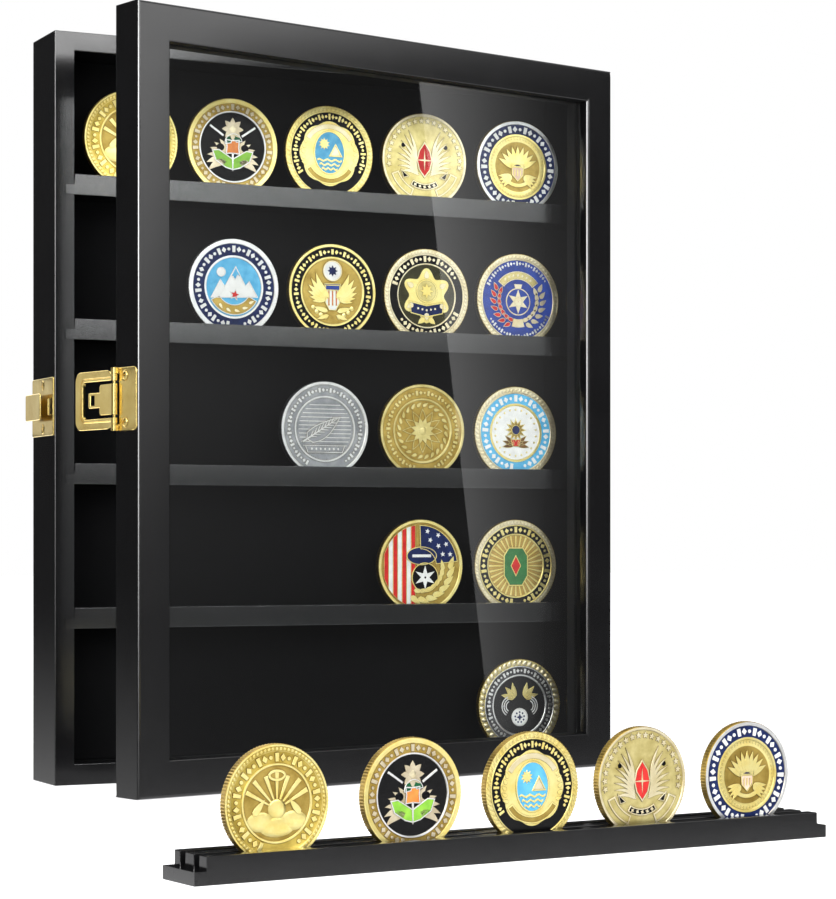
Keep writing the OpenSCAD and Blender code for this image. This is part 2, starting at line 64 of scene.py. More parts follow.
nodes = frame["nodes"]
MM = 0.001

# %% [markdown]
# The camera stands to the left of the case, a little above its foot, and looks level, so that all
# upright edges stay upright. A level camera that shows more above the horizon than below it
# needs a lens shift, not a tilt.

# %% Camera
PHOTO_W, PHOTO_H = 836, 899
FOCAL_PX = 2598.8
HORIZON_PX = 540.9
SENSOR = 36
camera_data = bpy.data.cameras.new("photo_camera")
camera_data.sensor_fit = "HORIZONTAL"
camera_data.sensor_width = SENSOR
camera_data.lens = SENSOR * FOCAL_PX / PHOTO_W
camera_data.shift_y = (HORIZON_PX - PHOTO_H / 2) / PHOTO_W
camera_data.clip_start = 0.05
camera = bpy.data.objects.new("photo_camera", camera_data)
camera.location = (-0.52075, -1.19326, 0.11543)
camera.rotation_euler = (math.radians(90), 0, math.radians(-25.759))
bpy.context.scene.collection.objects.link(camera)
bpy.context.scene.camera = camera
print("lens:", round(camera_data.lens, 1), "mm, shift:", round(camera_data.shift_y, 4))

# %% [markdown]
# All colours and glows are made of shader nodes. These helpers each add a node or two, so that a
# finish below is only a few lines. The letters n and l stand for a material's nodes and links.

# %% Node helpers
def calc(n, l, operation, *values):
    """A sum of that kind; each value is a number or another node's output."""
    node = n.new("ShaderNodeMath")
    node.operation = operation
    for socket, value in zip(node.inputs, values):
        if isinstance(value, (int, float)):
            socket.default_value = value
        else:
            l.new(value, socket)
    return node.outputs["Value"]


def spread(n, l, value, low, high, start=0.0, end=1.0):
    """Maps the range from start to end to the one from low to high."""
    node = n.new("ShaderNodeMapRange")
    for name, number in zip(("From Min", "From Max", "To Min", "To Max"), (start, end, low, high)):
        node.inputs[name].default_value = number
    l.new(value, node.inputs["Value"])
    return node.outputs["Result"]


def coordinates(n, kind="Object"):
    """Places on the piece itself, or directions for the world."""
    return n.new("ShaderNodeTexCoord").outputs[kind]


def split(n, l, vector):
    """The three parts of a place, as outputs X, Y and Z."""
    node = n.new("ShaderNodeSeparateXYZ")
    l.new(vector, node.inputs["Vector"])
    return node.outputs


def ramp(n, l, value, stops):
    """A colour ramp over a value, given as (position, colour) stops."""
    node = n.new("ShaderNodeValToRGB")
    els = node.color_ramp.elements
    while len(els) < len(stops):
        els.new(0.5)
    for el, (pos, col) in zip(els, stops):
        el.position = pos
        el.color = (*col, 1)
    l.new(value, node.inputs["Fac"])
    return node.outputs["Color"]


def blend(n, l, kind, first, second, factor=None):
    """Two shaders added, or mixed by a factor."""
    node = n.new(kind)
    if factor is not None:
        l.new(factor, node.inputs["Fac"])
    l.new(first, node.inputs[-2])
    l.new(second, node.inputs[-1])
    return node.outputs["Shader"]


def noise(n, l, where, scale, detail=3.0, rough=0.5):
    """Cloudy noise from 0 to 1."""
    tex = n.new("ShaderNodeTexNoise")
    tex.inputs["Scale"].default_value = scale
    tex.inputs["Detail"].default_value = detail
    tex.inputs["Roughness"].default_value = rough
    l.new(where, tex.inputs["Vector"])
    return tex.outputs["Fac"]


def bump(n, l, height, shader, strength, distance):
    """Tilts the surface by a height in metres."""
    node = n.new("ShaderNodeBump")
    node.inputs["Strength"].default_value = strength
    node.inputs["Distance"].default_value = distance
    l.new(height, node.inputs["Height"])
    l.new(node.outputs["Normal"], shader.inputs["Normal"])


def new_material(name, color, roughness, metallic=0.0):
    """Returns the material, its nodes, its links and its Principled shader."""
    mat = bpy.data.materials.new(name)
    mat.use_nodes = True
    tree = mat.node_tree
    shader = tree.nodes["Principled BSDF"]
    shader.inputs["Base Color"].default_value = (*color, 1)
    shader.inputs["Roughness"].default_value = roughness
    shader.inputs["Metallic"].default_value = metallic
    return mat, tree.nodes, tree.links, shader


def mottle(n, l, shader, tint, gloss=None, pits=None):
    """Gives a shader its small unevenness, each part by a noise of its own scale and detail.
    tint: scale, detail, roughness, stops; gloss: scale, detail, low, high; pits: scale, detail,
    roughness, strength, distance."""
    where = coordinates(n)
    *kind, stops = tint
    l.new(ramp(n, l, noise(n, l, where, *kind), stops), shader.inputs["Base Color"])
    if gloss:
        *kind, low, high = gloss
        l.new(spread(n, l, noise(n, l, where, *kind), low, high), shader.inputs["Roughness"])
    if pits:
        *kind, strength, distance = pits
        bump(n, l, noise(n, l, where, *kind), shader, strength, distance)


def dress(material, *names):
    """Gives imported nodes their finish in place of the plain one."""
    for name in names:
        nodes[name].data.materials.clear()
        nodes[name].data.materials.append(material)


print("node helpers ready")

# %% [markdown]
# The lamps give the plain light: a broad soft key in front, one overhead for the floor and one on
# the left. They are not mirrored. Lacquer, glass and metal show nothing but what they mirror, so
# each has boards of its own, as a photographer flags every surface. A board is seen by mirrored
# rays only, and only by the pieces in its group, so it lights nothing and blocks no view.

# %% Lamps
bpy.context.scene.view_settings.view_transform = "Standard"


def spot(azimuth, reach, side=0.0, height=0.0):
    """A place round the case: azimuth 0 is in front, positive to the right; side is sideways."""
    a = math.radians(azimuth)
    return Vector((math.sin(a) * reach + math.cos(a) * side,
                   -math.cos(a) * reach + math.sin(a) * side, height))


def soft_light(name, location, facing, width, height, radiance):
    """A rectangular lamp of that radiance, turned so that it shines along facing."""
    data = bpy.data.lights.new(name, "AREA")
    data.shape = "RECTANGLE"
    data.size = width
    data.size_y = height
    data.energy = radiance * math.pi * width * height
    lamp = bpy.data.objects.new(name, data)
    lamp.location = location
    lamp.rotation_euler = (-Vector(facing)).to_track_quat("Z", "Y").to_euler()
    lamp.visible_glossy = False
    bpy.context.scene.collection.objects.link(lamp)
    return lamp


soft_light("key_softbox", spot(10, 2.4, 0, 1.3), -spot(10, 1), 2.3, 1.8, 4.6)
soft_light("overhead_softbox", (0, -0.5, 1.9), (0, 0.1, -1), 1.6, 1.6, 2.2)
soft_light("left_softbox", spot(-44, 2.4, 0, 1.21), -spot(-44, 1), 1.9, 1.9, 4.0)

# %% Mirrored boards
GROUPS = ("woodwork", "shelving", "metalwork", "glazing")
woodwork, shelving, metalwork, glazing = (bpy.data.collections.new(name) for name in GROUPS)


def mirror_board(name, group, corners, glow):
    """A board seen mirrored in one group of pieces; for the others it is clear air.
    glow is its strength or a function that makes it."""
    bpy.ops.object.select_all(action="DESELECT")
    bpy.ops.mesh.primitive_plane_add(size=1)
    board = bpy.context.object
    board.name = name
    for vert, corner in zip(board.data.vertices, corners):
        vert.co = corner
    mat = bpy.data.materials.new(name)
    mat.use_nodes = True
    n, l = mat.node_tree.nodes, mat.node_tree.links
    n.clear()
    lit = n.new("ShaderNodeEmission")
    if callable(glow):
        l.new(glow(n, l), lit.inputs["Strength"])
    else:
        lit.inputs["Strength"].default_value = glow
    clear = n.new("ShaderNodeBsdfTransparent")
    surface = blend(n, l, "ShaderNodeAddShader", lit.outputs["Emission"], clear.outputs["BSDF"])
    l.new(surface, n.new("ShaderNodeOutputMaterial").inputs["Surface"])
    board.data.materials.append(mat)
    board.visible_camera = board.visible_shadow = board.visible_diffuse = False
    board.visible_transmission = board.visible_volume_scatter = False
    board.light_linking.receiver_collection = group


def fade(n, l, axis, start, end, low, high, power=1.0):
    """Strength from low at the first place along an object axis to high at the second."""
    along = spread(n, l, split(n, l, coordinates(n))[axis], 0, 1, start, end)
    return calc(n, l, "MULTIPLY_ADD", calc(n, l, "POWER", along, power), high - low, low)


def fading(azimuth, reach, *fades):
    """A glow that is the product of fades: up ("Z") in heights, or across ("X") in sideways
    places on a board at that azimuth and reach."""
    def glow(n, l):
        strength = None
        for axis, start, end, *curve in fades:
            if axis == "X":
                start, end = spot(azimuth, reach, start).x, spot(azimuth, reach, end).x
            part = fade(n, l, axis, start, end, *curve)
            strength = part if strength is None else calc(n, l, "MULTIPLY", strength, part)
        return strength
    return glow


def upright_board(name, group, azimuth, reach, sides, heights, *fades, glow=None):
    """An upright board that faces the case, with an even glow or with fades."""
    corners = [spot(azimuth, reach, u, v) for v in heights for u in sides]
    mirror_board(name, group, corners, fading(azimuth, reach, *fades) if fades else glow)


# What the lacquer mirrors: bright from the front above, then a dark gap, then a slow fall to black.
upright_board("wood_key", woodwork, 4, 2.4, (-0.9, 0.67), (0.738, 2.2), glow=4.9)
upright_board("wood_front", woodwork, 16, 2.52, (-1.1, 0.8), (-0.6, 0.672),
              ("Z", -0.1, 0.64, 0.06, 1.35, 1.5), ("X", 0.8, 0.1, 0.35, 1.0))
upright_board("wood_stile", woodwork, 50, 2.3, (-0.66, -0.25), (-0.5, 1.7),
              ("Z", 0.0, 0.78, 0.07, 1.75, 1.45))
upright_board("wood_rail", woodwork, 50, 2.3, (-0.25, 0.42), (0.8, 1.7),
              ("X", 0.36, -0.36, 0.1, 3.0, 1.4))
upright_board("wood_side", woodwork, -46, 2.35, (-0.75, 0.75), (-0.3, 0.85),
              ("Z", -0.12, 0.5, 0.2, 17.0, 1.15))
upright_board("wood_low_left", woodwork, -140, 2.4, (-1.2, 1.2), (-0.7, 0.02),
              ("Z", 0.0, -0.3, 0.0, 0.42, 1.3))
upright_board("ledge_front", shelving, 16, 2.57, (-1.1, 1.1), (-0.6, 1.5),
              ("Z", 0.12, 0.62, 0.1, 2.6, 1.7), ("X", 0.02, 0.62, 1.0, 0.38))

# What metal mirrors.
upright_board("metal_key", metalwork, 16, 2.4, (-1.17, 1.17), (0.76, 2.2), glow=4.6)
upright_board("metal_front", metalwork, 16, 2.45, (-1.17, 1.17), (-0.5, 0.78),
              ("Z", -0.1, 0.7, 0.4, 1.0), ("X", -0.23439, 0.70188, 1.4, 0.5))
upright_board("metal_low", metalwork, 50, 2.27, (-1.15, -0.32), (-0.5, -0.06), glow=1.7)
upright_board("metal_side", metalwork, -44, 2.4, (-0.95, 0.95), (0.26, 2.16), glow=4.0)
upright_board("metal_back_high", metalwork, 190, 2.4, (-1.6, 1.6), (0.7, 3.2), glow=2.0)
upright_board("metal_back_low", metalwork, 190, 2.4, (-1.6, 1.6), (-2.4, -0.45), glow=2.0)
mirror_board("metal_top", metalwork, [(x, y, 1.9) for y in (-1.3, 0.3) for x in (-0.8, 0.8)], 2.2)
print("boards set")

# %% [markdown]
# The glass mirrors a tall pale board on the right, and its slanting left edge is the sharp line
# that crosses the pane. The board is brightest along that edge and fades away to the right. Left
# of it the glass is nearly clear, with a faint veil towards its upper left corner.

# %% Boards for the glass
slanting = [spot(50, 2.4, u, v) for u, v in ((0.169, -0.45), (0.5, -0.45), (0.010, 1.0), (0.5, 1.0))]
mirror_board("streak_board", glazing, slanting, fading(50, 2.4, ("X", 0.26, 0.05, 0.04, 1.42, 1.8)))
upright_board("veil_board", glazing, 50, 2.45, (-0.8, 0.8), (-0.5, 1.2), ("Z", -0.09, 0.5, 0.05, 0.27),
              ("Z", 0.5, 0.75, 1.0, 0.4), ("X", -0.3, -0.1, 1.0, 0.55))
print("streak and veil set")

# %% [markdown]
# Two small cards of plain light stand just behind the latch, where its brass plates look.
# Brass with nothing bright to mirror would be as black as the wood round it.

# %% Cards for the latch
CARD_GLOW = 0.62
CARD_AWAY = 50 * MM


def latch_card(name, middle, normal, width, height):
    """A card, its size in mm, that the camera sees mirrored in a flat face at that middle."""
    normal = Vector(normal).normalized()
    sight = (middle - camera.location).normalized()
    mirrored = sight - 2 * sight.dot(normal) * normal
    side = mirrored.cross(Vector((0, 0, 1))).normalized() * width * MM / 2
    up = side.cross(mirrored).normalized() * height * MM / 2
    center = middle + mirrored * CARD_AWAY
    corners = [center + side * u + up * v for v in (-1, 1) for u in (-1, 1)]
    mirror_board(name, metalwork, corners, CARD_GLOW)


def middle_of(*names):
    """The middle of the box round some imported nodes."""
    boxes = [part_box(name) for name in names]
    return Vector([(min(b[0][i] for b in boxes) + max(b[1][i] for b in boxes)) / 2 for i in range(3)])


latch_mid = middle_of("hasp_ring", "latch_base")
latch_mid.z = middle_of("hasp_ring").z
latch_card("keeper_card", middle_of("keeper"), (-1, 0, 0), 26, 28)
latch_card("hasp_card", latch_mid, (-0.975, -0.223, 0), 40, 30)
print("latch cards set")

# %% [markdown]
# The background is white to the camera. What is mirrored sees a white floor near the object, a
# dark room all round at eye level, and an open white ceiling.

# %% World
world = bpy.data.worlds.new("studio")
world.use_nodes = True
bpy.context.scene.world = world
wn, wl = world.node_tree.nodes, world.node_tree.links
wn.clear()
ROOM_STOPS = ((0.0, 0.8), (0.425, 0.7), (0.446, 0.3), (0.458, 0.06), (0.482, 0.03), (0.5, 0.03),
              (0.75, 0.05), (0.92, 0.8))
rays = wn.new("ShaderNodeLightPath")
height = spread(wn, wl, split(wn, wl, coordinates(wn, "Generated"))["Z"], 0, 1, -1, 1)
mirrored_room = ramp(wn, wl, height, [(place, (v, v, v * 1.02)) for place, v in ROOM_STOPS])


def background(color, strength):
    """A world colour, or a node's output, at that strength."""
    node = wn.new("ShaderNodeBackground")
    node.inputs["Strength"].default_value = strength
    if isinstance(color, tuple):
        node.inputs["Color"].default_value = color
    else:
        wl.new(color, node.inputs["Color"])
    return node.outputs["Background"]


seen = background((0.95, 0.97, 1, 1), 0.12)
white = background((1, 1, 1, 1), 1)
for kind, sight in (("Is Glossy Ray", background(mirrored_room, 1)), ("Is Transmission Ray", white),
                    ("Is Camera Ray", white)):
    seen = blend(wn, wl, "ShaderNodeMixShader", seen, sight, rays.outputs[kind])
wl.new(seen, wn.new("ShaderNodeOutputWorld").inputs["Surface"])
print("world set")

# %% [markdown]
# The wood is sprayed with black lacquer. Under it the grain has all but gone, and what stays is a
# faint orange peel and a slow change of gloss. The ledges in the case shine a little more at a
# slant, and the beads behind the glass are nearly dull.

# %% Black lacquer
def black_lacquer(name, gloss, ior=1.8):
    """Lacquer of that roughness; a higher index mirrors more."""
    mat, n, l, shader = new_material(name, (0.0055, 0.0055, 0.006), gloss)
    shader.inputs["IOR"].default_value = ior
    mottle(n, l, shader, (35, 4, 0.5, [(0.3, (0.0045, 0.0045, 0.0048)), (0.7, (0.0065, 0.0065, 0.007))]),
           (90, 5, gloss * 0.85, gloss * 1.15), (500, 2, 0.5, 0.03, 0.0002))
    return mat


lacquer = black_lacquer("black_lacquer", 0.15)
ledge_lacquer = black_lacquer("ledge_lacquer", 0.17, 2.1)
bead_black = black_lacquer("bead_black", 0.7, 1.3)

# %% [markdown]
# The floor is a white sweep. To the camera it glows nearly white by itself, and the little light
# that it also scatters is what the shadows take away.

# %% Floor
bpy.ops.object.select_all(action="DESELECT")
bpy.ops.mesh.primitive_plane_add(size=14, location=(0, 0, 0))
floor = bpy.context.object
floor.name = "floor"
floor.visible_glossy = False
mat, n, l, shader = new_material("pale_floor", (0.8, 0.8, 0.8), 0.8)
mottle(n, l, shader, (3, 3, 0.5, [(0, (0.79, 0.79, 0.79)), (1, (0.81, 0.81, 0.81))]))
shader.inputs["Specular IOR Level"].default_value = 0
reach = n.new("ShaderNodeVectorMath")
reach.operation = "LENGTH"
l.new(coordinates(n), reach.inputs[0])
glow = n.new("ShaderNodeEmission")
l.new(spread(n, l, reach.outputs["Value"], 0.68, 1.0, 0.5, 1.4), glow.inputs["Strength"])
both = blend(n, l, "ShaderNodeAddShader", shader.outputs["BSDF"], glow.outputs["Emission"])
pick = blend(n, l, "ShaderNodeMixShader", shader.outputs["BSDF"], both,
             n.new("ShaderNodeLightPath").outputs["Is Camera Ray"])
l.new(pick, n["Material Output"].inputs["Surface"])
floor.data.materials.append(mat)
print("floor at z = 0")

# %% [markdown]
# Joiners ease every long edge of lacquered wood, because a sharp one would not hold the lacquer,
# and these small round arrises catch the light as thin bright lines. The boards keep the exact
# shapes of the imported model: each is copied, its loose triangles are merged and dissolved to flat
# faces, and only the long arrises are bevelled. Edges at joints stay sharp, so that no seam opens.

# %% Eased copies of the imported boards
CASE_EASE, SHELF_EASE, LEDGE_EASE = 0.35, 0.45, 0.3
RIM_EASE, LIP_EASE, HINGE_LIP_EASE = 1.4, 0.5, 1.6
PANE_EASE, PLATE_ROLL = 0.25, 0.45
UNMOVED = Matrix.Identity(4)


def copy_of(node, name):
    """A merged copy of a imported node, selected alone and active."""
    bpy.ops.object.select_all(action="DESELECT")
    mesh = nodes[node].data.copy()
    obj = bpy.data.objects.new(name, mesh)
    bpy.context.scene.collection.objects.link(obj)
    obj.select_set(True)
    bpy.context.view_layer.objects.active = obj
    mesh.materials.clear()
    if mesh.has_custom_normals:
        bpy.ops.mesh.customdata_custom_splitnormals_clear()
    bpy.ops.object.mode_set(mode="EDIT")
    bpy.ops.mesh.select_all(action="SELECT")
    bpy.ops.mesh.remove_doubles(threshold=0.000005)
    bpy.ops.mesh.dissolve_limited(angle_limit=math.radians(1))
    bpy.ops.object.mode_set(mode="OBJECT")
    return obj


def select_edges(obj, wanted, home=UNMOVED):
    """In edit mode, selects the sharp edges whose two ends, moved by home, pass the test (in mm)."""
    bm = bmesh.from_edit_mesh(obj.data)
    bm.select_mode = {"EDGE"}
    count = 0
    for face in bm.faces:
        face.select = False
    for edge in bm.edges:
        sharp = len(edge.link_faces) == 2 and edge.calc_face_angle(0) > math.radians(25)
        a, b = (home @ v.co / MM for v in edge.verts)
        edge.select = bool(sharp and wanted(a, b))
        count += edge.select
    bm.select_flush_mode()
    bmesh.update_edit_mesh(obj.data)
    return count


def ease(obj, wanted, width, home=UNMOVED, segments=3, clamp=True):
    """Rounds the chosen edges by that width in mm."""
    bpy.ops.object.mode_set(mode="EDIT")
    bpy.ops.mesh.select_mode(type="EDGE")
    count = select_edges(obj, wanted, home)
    if count:
        bpy.ops.mesh.bevel(offset=width * MM, segments=segments, profile=0.5, affect="EDGES",
                           clamp_overlap=clamp)
    bpy.ops.object.mode_set(mode="OBJECT")
    return count


def finish_piece(obj, body, replaced, material=None, angle=40, flat_faces=True):
    """Smooths, gives the material, ties the piece to its body and hides the node that it replaces."""
    bpy.ops.object.select_all(action="DESELECT")
    obj.select_set(True)
    bpy.context.view_layer.objects.active = obj
    bpy.ops.object.shade_smooth_by_angle(angle=math.radians(angle))
    if flat_faces:
        weigh = obj.modifiers.new("weigh", "WEIGHTED_NORMAL")
        weigh.keep_sharp = True
        bpy.ops.object.modifier_apply(modifier=weigh.name)
    if material is not None:
        obj.data.materials.clear()
        obj.data.materials.append(material)
    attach(obj, body)
    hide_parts(replaced)
    return obj


def near(value, *targets):
    """Whether a place in mm is the same as one of the others."""
    return any(abs(value - t) < 0.02 for t in targets)


print("easing helpers ready")

# %% Case boards
lo, hi = (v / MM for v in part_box("left_side"))
CASE_X, CASE_TOP, FRONT, REAR = -lo.x, hi.z, lo.y, hi.y
INNER_X = CASE_X - (hi.x - lo.x)
FLOOR_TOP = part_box("bottom_board")[1].z / MM
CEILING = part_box("top_board")[0].z / MM
print("case half width", CASE_X, "inner", INNER_X, "floor", FLOOR_TOP, "ceiling", CEILING)


def outer_arris(a, b):
    """Long outside edges of the carcass, front and rear, and those of its top and bottom."""
    on_front_or_rear = near(a.y, FRONT, REAR) and near(a.y, b.y)
    on_side = near(abs(a.x), CASE_X) and near(abs(b.x), CASE_X)
    on_end = near(a.z, 0, CASE_TOP) and near(a.z, b.z)
    return (on_front_or_rear and (on_side or on_end)) or (on_side and on_end)


def shelf_edge(a, b):
    """Front edges of the floor and the ceiling, inside the case."""
    return near(a.z, FLOOR_TOP, CEILING) and near(a.z, b.z) and near(a.y, FRONT) and near(b.y, FRONT)


for node in ("left_side", "right_side", "top_board", "bottom_board"):
    board = copy_of(node, "lacquered_" + node)
    count = ease(board, outer_arris, CASE_EASE)
    if "board" in node:
        count += ease(board, shelf_edge, SHELF_EASE)
    finish_piece(board, "case", node, lacquer)
    print(node, "arrises eased:", count, "faces:", len(board.data.polygons))

# %% Ledges
TAB_LEVELS = (4.5, 5.3)
for node in ("ledge_1", "ledge_2", "ledge_3", "ledge_4", "free_ledge"):
    board = copy_of(node, "lacquered_" + node)
    top = max(v.co.z for v in board.data.vertices) / MM

    def ledge_edge(a, b):
        """Long edges, but not those of groove floors and tabs, which lie too close together."""
        low = all(TAB_LEVELS[0] < top - p.z < TAB_LEVELS[1] for p in (a, b))
        return (a - b).length > 3 and not low

    count = ease(board, ledge_edge, LEDGE_EASE, segments=2)
    finish_piece(board, "case", node, lacquer if node == "free_ledge" else ledge_lacquer)
    print(node, "edges eased:", count)

# %% Door frame
hinge = frame["joints"][0]
AJAR = -math.radians(hinge["range_deg"][0])
pivot = Vector(hinge["pos_m"])
door_turn = Matrix.Translation(pivot) @ Matrix.Rotation(AJAR, 4, "Z") @ Matrix.Translation(-pivot)
closed = door_turn.inverted()
stile = [closed @ v.co / MM for v in nodes["left_stile"].data.vertices]
DOOR_FRONT, DOOR_BACK = min(v.y for v in stile), max(v.y for v in stile)
DOOR_LOW, DOOR_TOP = min(v.z for v in stile), max(v.z for v in stile)
FRAME_W = max(v.x for v in stile) + CASE_X
print("door from", DOOR_FRONT, "to", DOOR_BACK, "low", DOOR_LOW, "frame width", FRAME_W)


def on_rim(p, inset):
    """Whether a place lies on an upright, or on a level, line of the frame, that far inside."""
    x, z0, z1 = CASE_X - inset, DOOR_LOW + inset, DOOR_TOP - inset
    return near(abs(p.x), x), near(p.z, z0, z1)


def along_rim(a, b, inset):
    """Whether both ends of an edge lie on the same line of the frame."""
    (a_up, a_level), (b_up, b_level) = on_rim(a, inset), on_rim(b, inset)
    return (a_up and b_up and a.x * b.x > 0) or (a_level and b_level and abs(a.z - b.z) < 1)


def door_outer(a, b):
    """Outside edges of the frame, front and back."""
    return near(a.y, DOOR_FRONT, DOOR_BACK) and near(a.y, b.y) and along_rim(a, b, 0)


def door_lip(a, b):
    """Front edges round the opening."""
    return near(a.y, DOOR_FRONT) and near(b.y, DOOR_FRONT) and along_rim(a, b, FRAME_W)


for node in ("left_stile", "right_stile", "top_rail", "bottom_rail"):
    board = copy_of(node, "lacquered_" + node)
    lip_ease = HINGE_LIP_EASE if node == "right_stile" else LIP_EASE
    count = ease(board, door_outer, RIM_EASE, closed, 4) + ease(board, door_lip, lip_ease, closed)
    finish_piece(board, "door", node, lacquer)
    if "rail" in node:
        board.data.materials.append(bead_black)
        inwards, lip = (-1, DOOR_TOP - FRAME_W) if node == "top_rail" else (1, DOOR_LOW + FRAME_W)
        for face in board.data.polygons:
            looks_in = (closed.to_3x3() @ face.normal).z * inwards > 0.9
            if looks_in and abs((closed @ face.center).z / MM - lip) < 0.3:
                face.material_index = 1
    print(node, "arrises eased:", count)
dress(bead_black, "left_bead", "right_bead", "top_bead", "bottom_bead", "back_board")

# %% [markdown]
# The pane is clear glass. Light goes straight through it and only about a tenth is mirrored,
# more at a slant, so it is a transparent shader mixed with a sharp gloss by Fresnel.
# Only the face that a ray enters has the gloss: light that is not bent by the glass would meet
# the far face at too steep an angle, and Fresnel would turn that face into a mirror.

# %% Clear pane
mat, n, l, shader = new_material("clear_glass", (1, 1, 1), 0.0)
clear = n.new("ShaderNodeBsdfTransparent")
clear.inputs["Color"].default_value = (0.97, 0.98, 0.98, 1)
gloss = n.new("ShaderNodeBsdfGlossy")
gloss.inputs["Roughness"].default_value = 0.01
fresnel = n.new("ShaderNodeFresnel")
fresnel.inputs["IOR"].default_value = 1.85
behind = n.new("ShaderNodeNewGeometry").outputs["Backfacing"]
facing = calc(n, l, "MULTIPLY", fresnel.outputs["Fac"], calc(n, l, "SUBTRACT", 1, behind))
mix = blend(n, l, "ShaderNodeMixShader", clear.outputs["BSDF"], gloss.outputs["BSDF"], facing)
l.new(mix, n["Material Output"].inputs["Surface"])
n.remove(shader)
pane = copy_of("pane", "glass_pane")
count = ease(pane, lambda a, b: (a - b).length > 10, PANE_EASE, closed, 2)
finish_piece(pane, "door", "pane", mat, 20)
print("pane glazed, ground edges:", count)

# %% [markdown]
# The lining behind the ledges is card covered with short black felt, which swallows the light.

# %% Black felt
mat, n, l, shader = new_material("black_felt", (0.002, 0.002, 0.0025), 0.95)
mottle(n, l, shader, (1500, 4, 0.7, [(0.3, (0.0009, 0.0009, 0.0012)), (0.8, (0.0032, 0.0032, 0.0036))]),
       pits=(2200, 4, 0.8, 0.5, 0.0004))
shader.inputs["Specular IOR Level"].default_value = 0.1
shader.inputs["Sheen Weight"].default_value = 0.03
shader.inputs["Sheen Roughness"].default_value = 0.6
dress(mat, "lining_panel")
print("felt laid")

# %% [markdown]
# The latch, the hinges and their screws are polished brass. Stamped plates have rolled edges, and
# those thin rounds are what shines, so each plate is a copy with its edges bevelled.

# %% Brass
brass, n, l, shader = new_material("polished_brass", (0.83, 0.6, 0.2), 0.2, 1.0)
mottle(n, l, shader, (90, 4, 0.5, [(0.3, (0.72, 0.53, 0.16)), (0.7, (0.86, 0.68, 0.26))]),
       (400, 4, 0.14, 0.28), (1200, 3, 0.5, 0.08, 0.0002))
plates = {"upper_case_leaf": "case", "lower_case_leaf": "case", "keeper": "case",
          "upper_door_leaf": "door", "lower_door_leaf": "door", "latch_base": "door",
          "hasp_ring": "hasp_ring", "hasp_tongue": "hasp_tongue"}
for node, body in plates.items():
    plate_copy = copy_of(node, "rolled_" + node)
    home = UNMOVED if body == "case" else closed
    leaf = "leaf" in node
    outwards, shortest = (1, 0.5) if leaf else (-1, 0.01)
    levels = {round((home @ face.center / MM).x, 2) for face in plate_copy.data.polygons
              if (home.to_3x3() @ face.normal).x * outwards > 0.99 and face.area > 4 * MM ** 2}

    def rolled(a, b):
        """Edges round the plate's outer faces."""
        return near(a.x, *levels) and near(b.x, *levels) and near(a.x, b.x) and (a - b).length > shortest

    if node == "hasp_ring":
        bpy.ops.object.mode_set(mode="EDIT")
        for across in (Vector((0, 0, 1)), Vector((0.22, -0.97, 0))):
            bpy.ops.mesh.select_all(action="SELECT")
            bpy.ops.mesh.bisect(plane_co=middle_of(node), plane_no=across)
        bpy.ops.object.mode_set(mode="OBJECT")
    count = ease(plate_copy, rolled, PLATE_ROLL, home, clamp=leaf)
    finish_piece(plate_copy, body, node, brass, 35)
    print(node, "edges rolled:", count)
dress(brass, *(node for node in nodes if "leaf_screws" in node or "pin" in node))

# %% [markdown]
# The latch's screws have round heads with a cross recess. One head is turned from a ball, its
# recess is cut by two crossed bars, and it is copied on top of each packed screw. The shut door's
# ring passes 0.4 mm over the keeper's screws, so their heads are less than a third as high.

# %% Round screw heads
HEAD_R, HEAD_FLAT = 2.2, 0.48
LOW_HEAD = 0.3
RECESS_L, RECESS_W, RECESS_H = 2.9, 0.5, 1.1
bpy.ops.object.select_all(action="DESELECT")
bpy.ops.mesh.primitive_uv_sphere_add(segments=28, ring_count=14, radius=HEAD_R * MM)
head = bpy.context.object
head.name = "round_head"
bpy.ops.object.mode_set(mode="EDIT")
bm = bmesh.from_edit_mesh(head.data)
for vert in bm.verts:
    vert.select = vert.co.z < -0.1 * MM
bm.select_flush_mode()
bmesh.update_edit_mesh(head.data)
bpy.ops.mesh.delete(type="VERT")
bpy.ops.mesh.select_all(action="SELECT")
bpy.ops.transform.resize(value=(1, 1, HEAD_FLAT), center_override=(0, 0, 0))
bpy.ops.mesh.select_all(action="DESELECT")
bpy.ops.mesh.select_non_manifold()
bpy.ops.mesh.edge_face_add()
bpy.ops.object.mode_set(mode="OBJECT")
for turn in (20, 110):
    bpy.ops.mesh.primitive_cube_add(size=1, location=(0, 0, MM), rotation=(0, 0, math.radians(turn)))
    bar_cutter = bpy.context.object
    bar_cutter.scale = (RECESS_L * MM, RECESS_W * MM, RECESS_H * MM)
    cut = head.modifiers.new("cut", "BOOLEAN")
    cut.operation, cut.solver, cut.object = "DIFFERENCE", "EXACT", bar_cutter
    bpy.context.view_layer.update()
    bpy.context.view_layer.objects.active = head
    bpy.ops.object.modifier_apply(modifier=cut.name)
    bpy.data.objects.remove(bar_cutter)
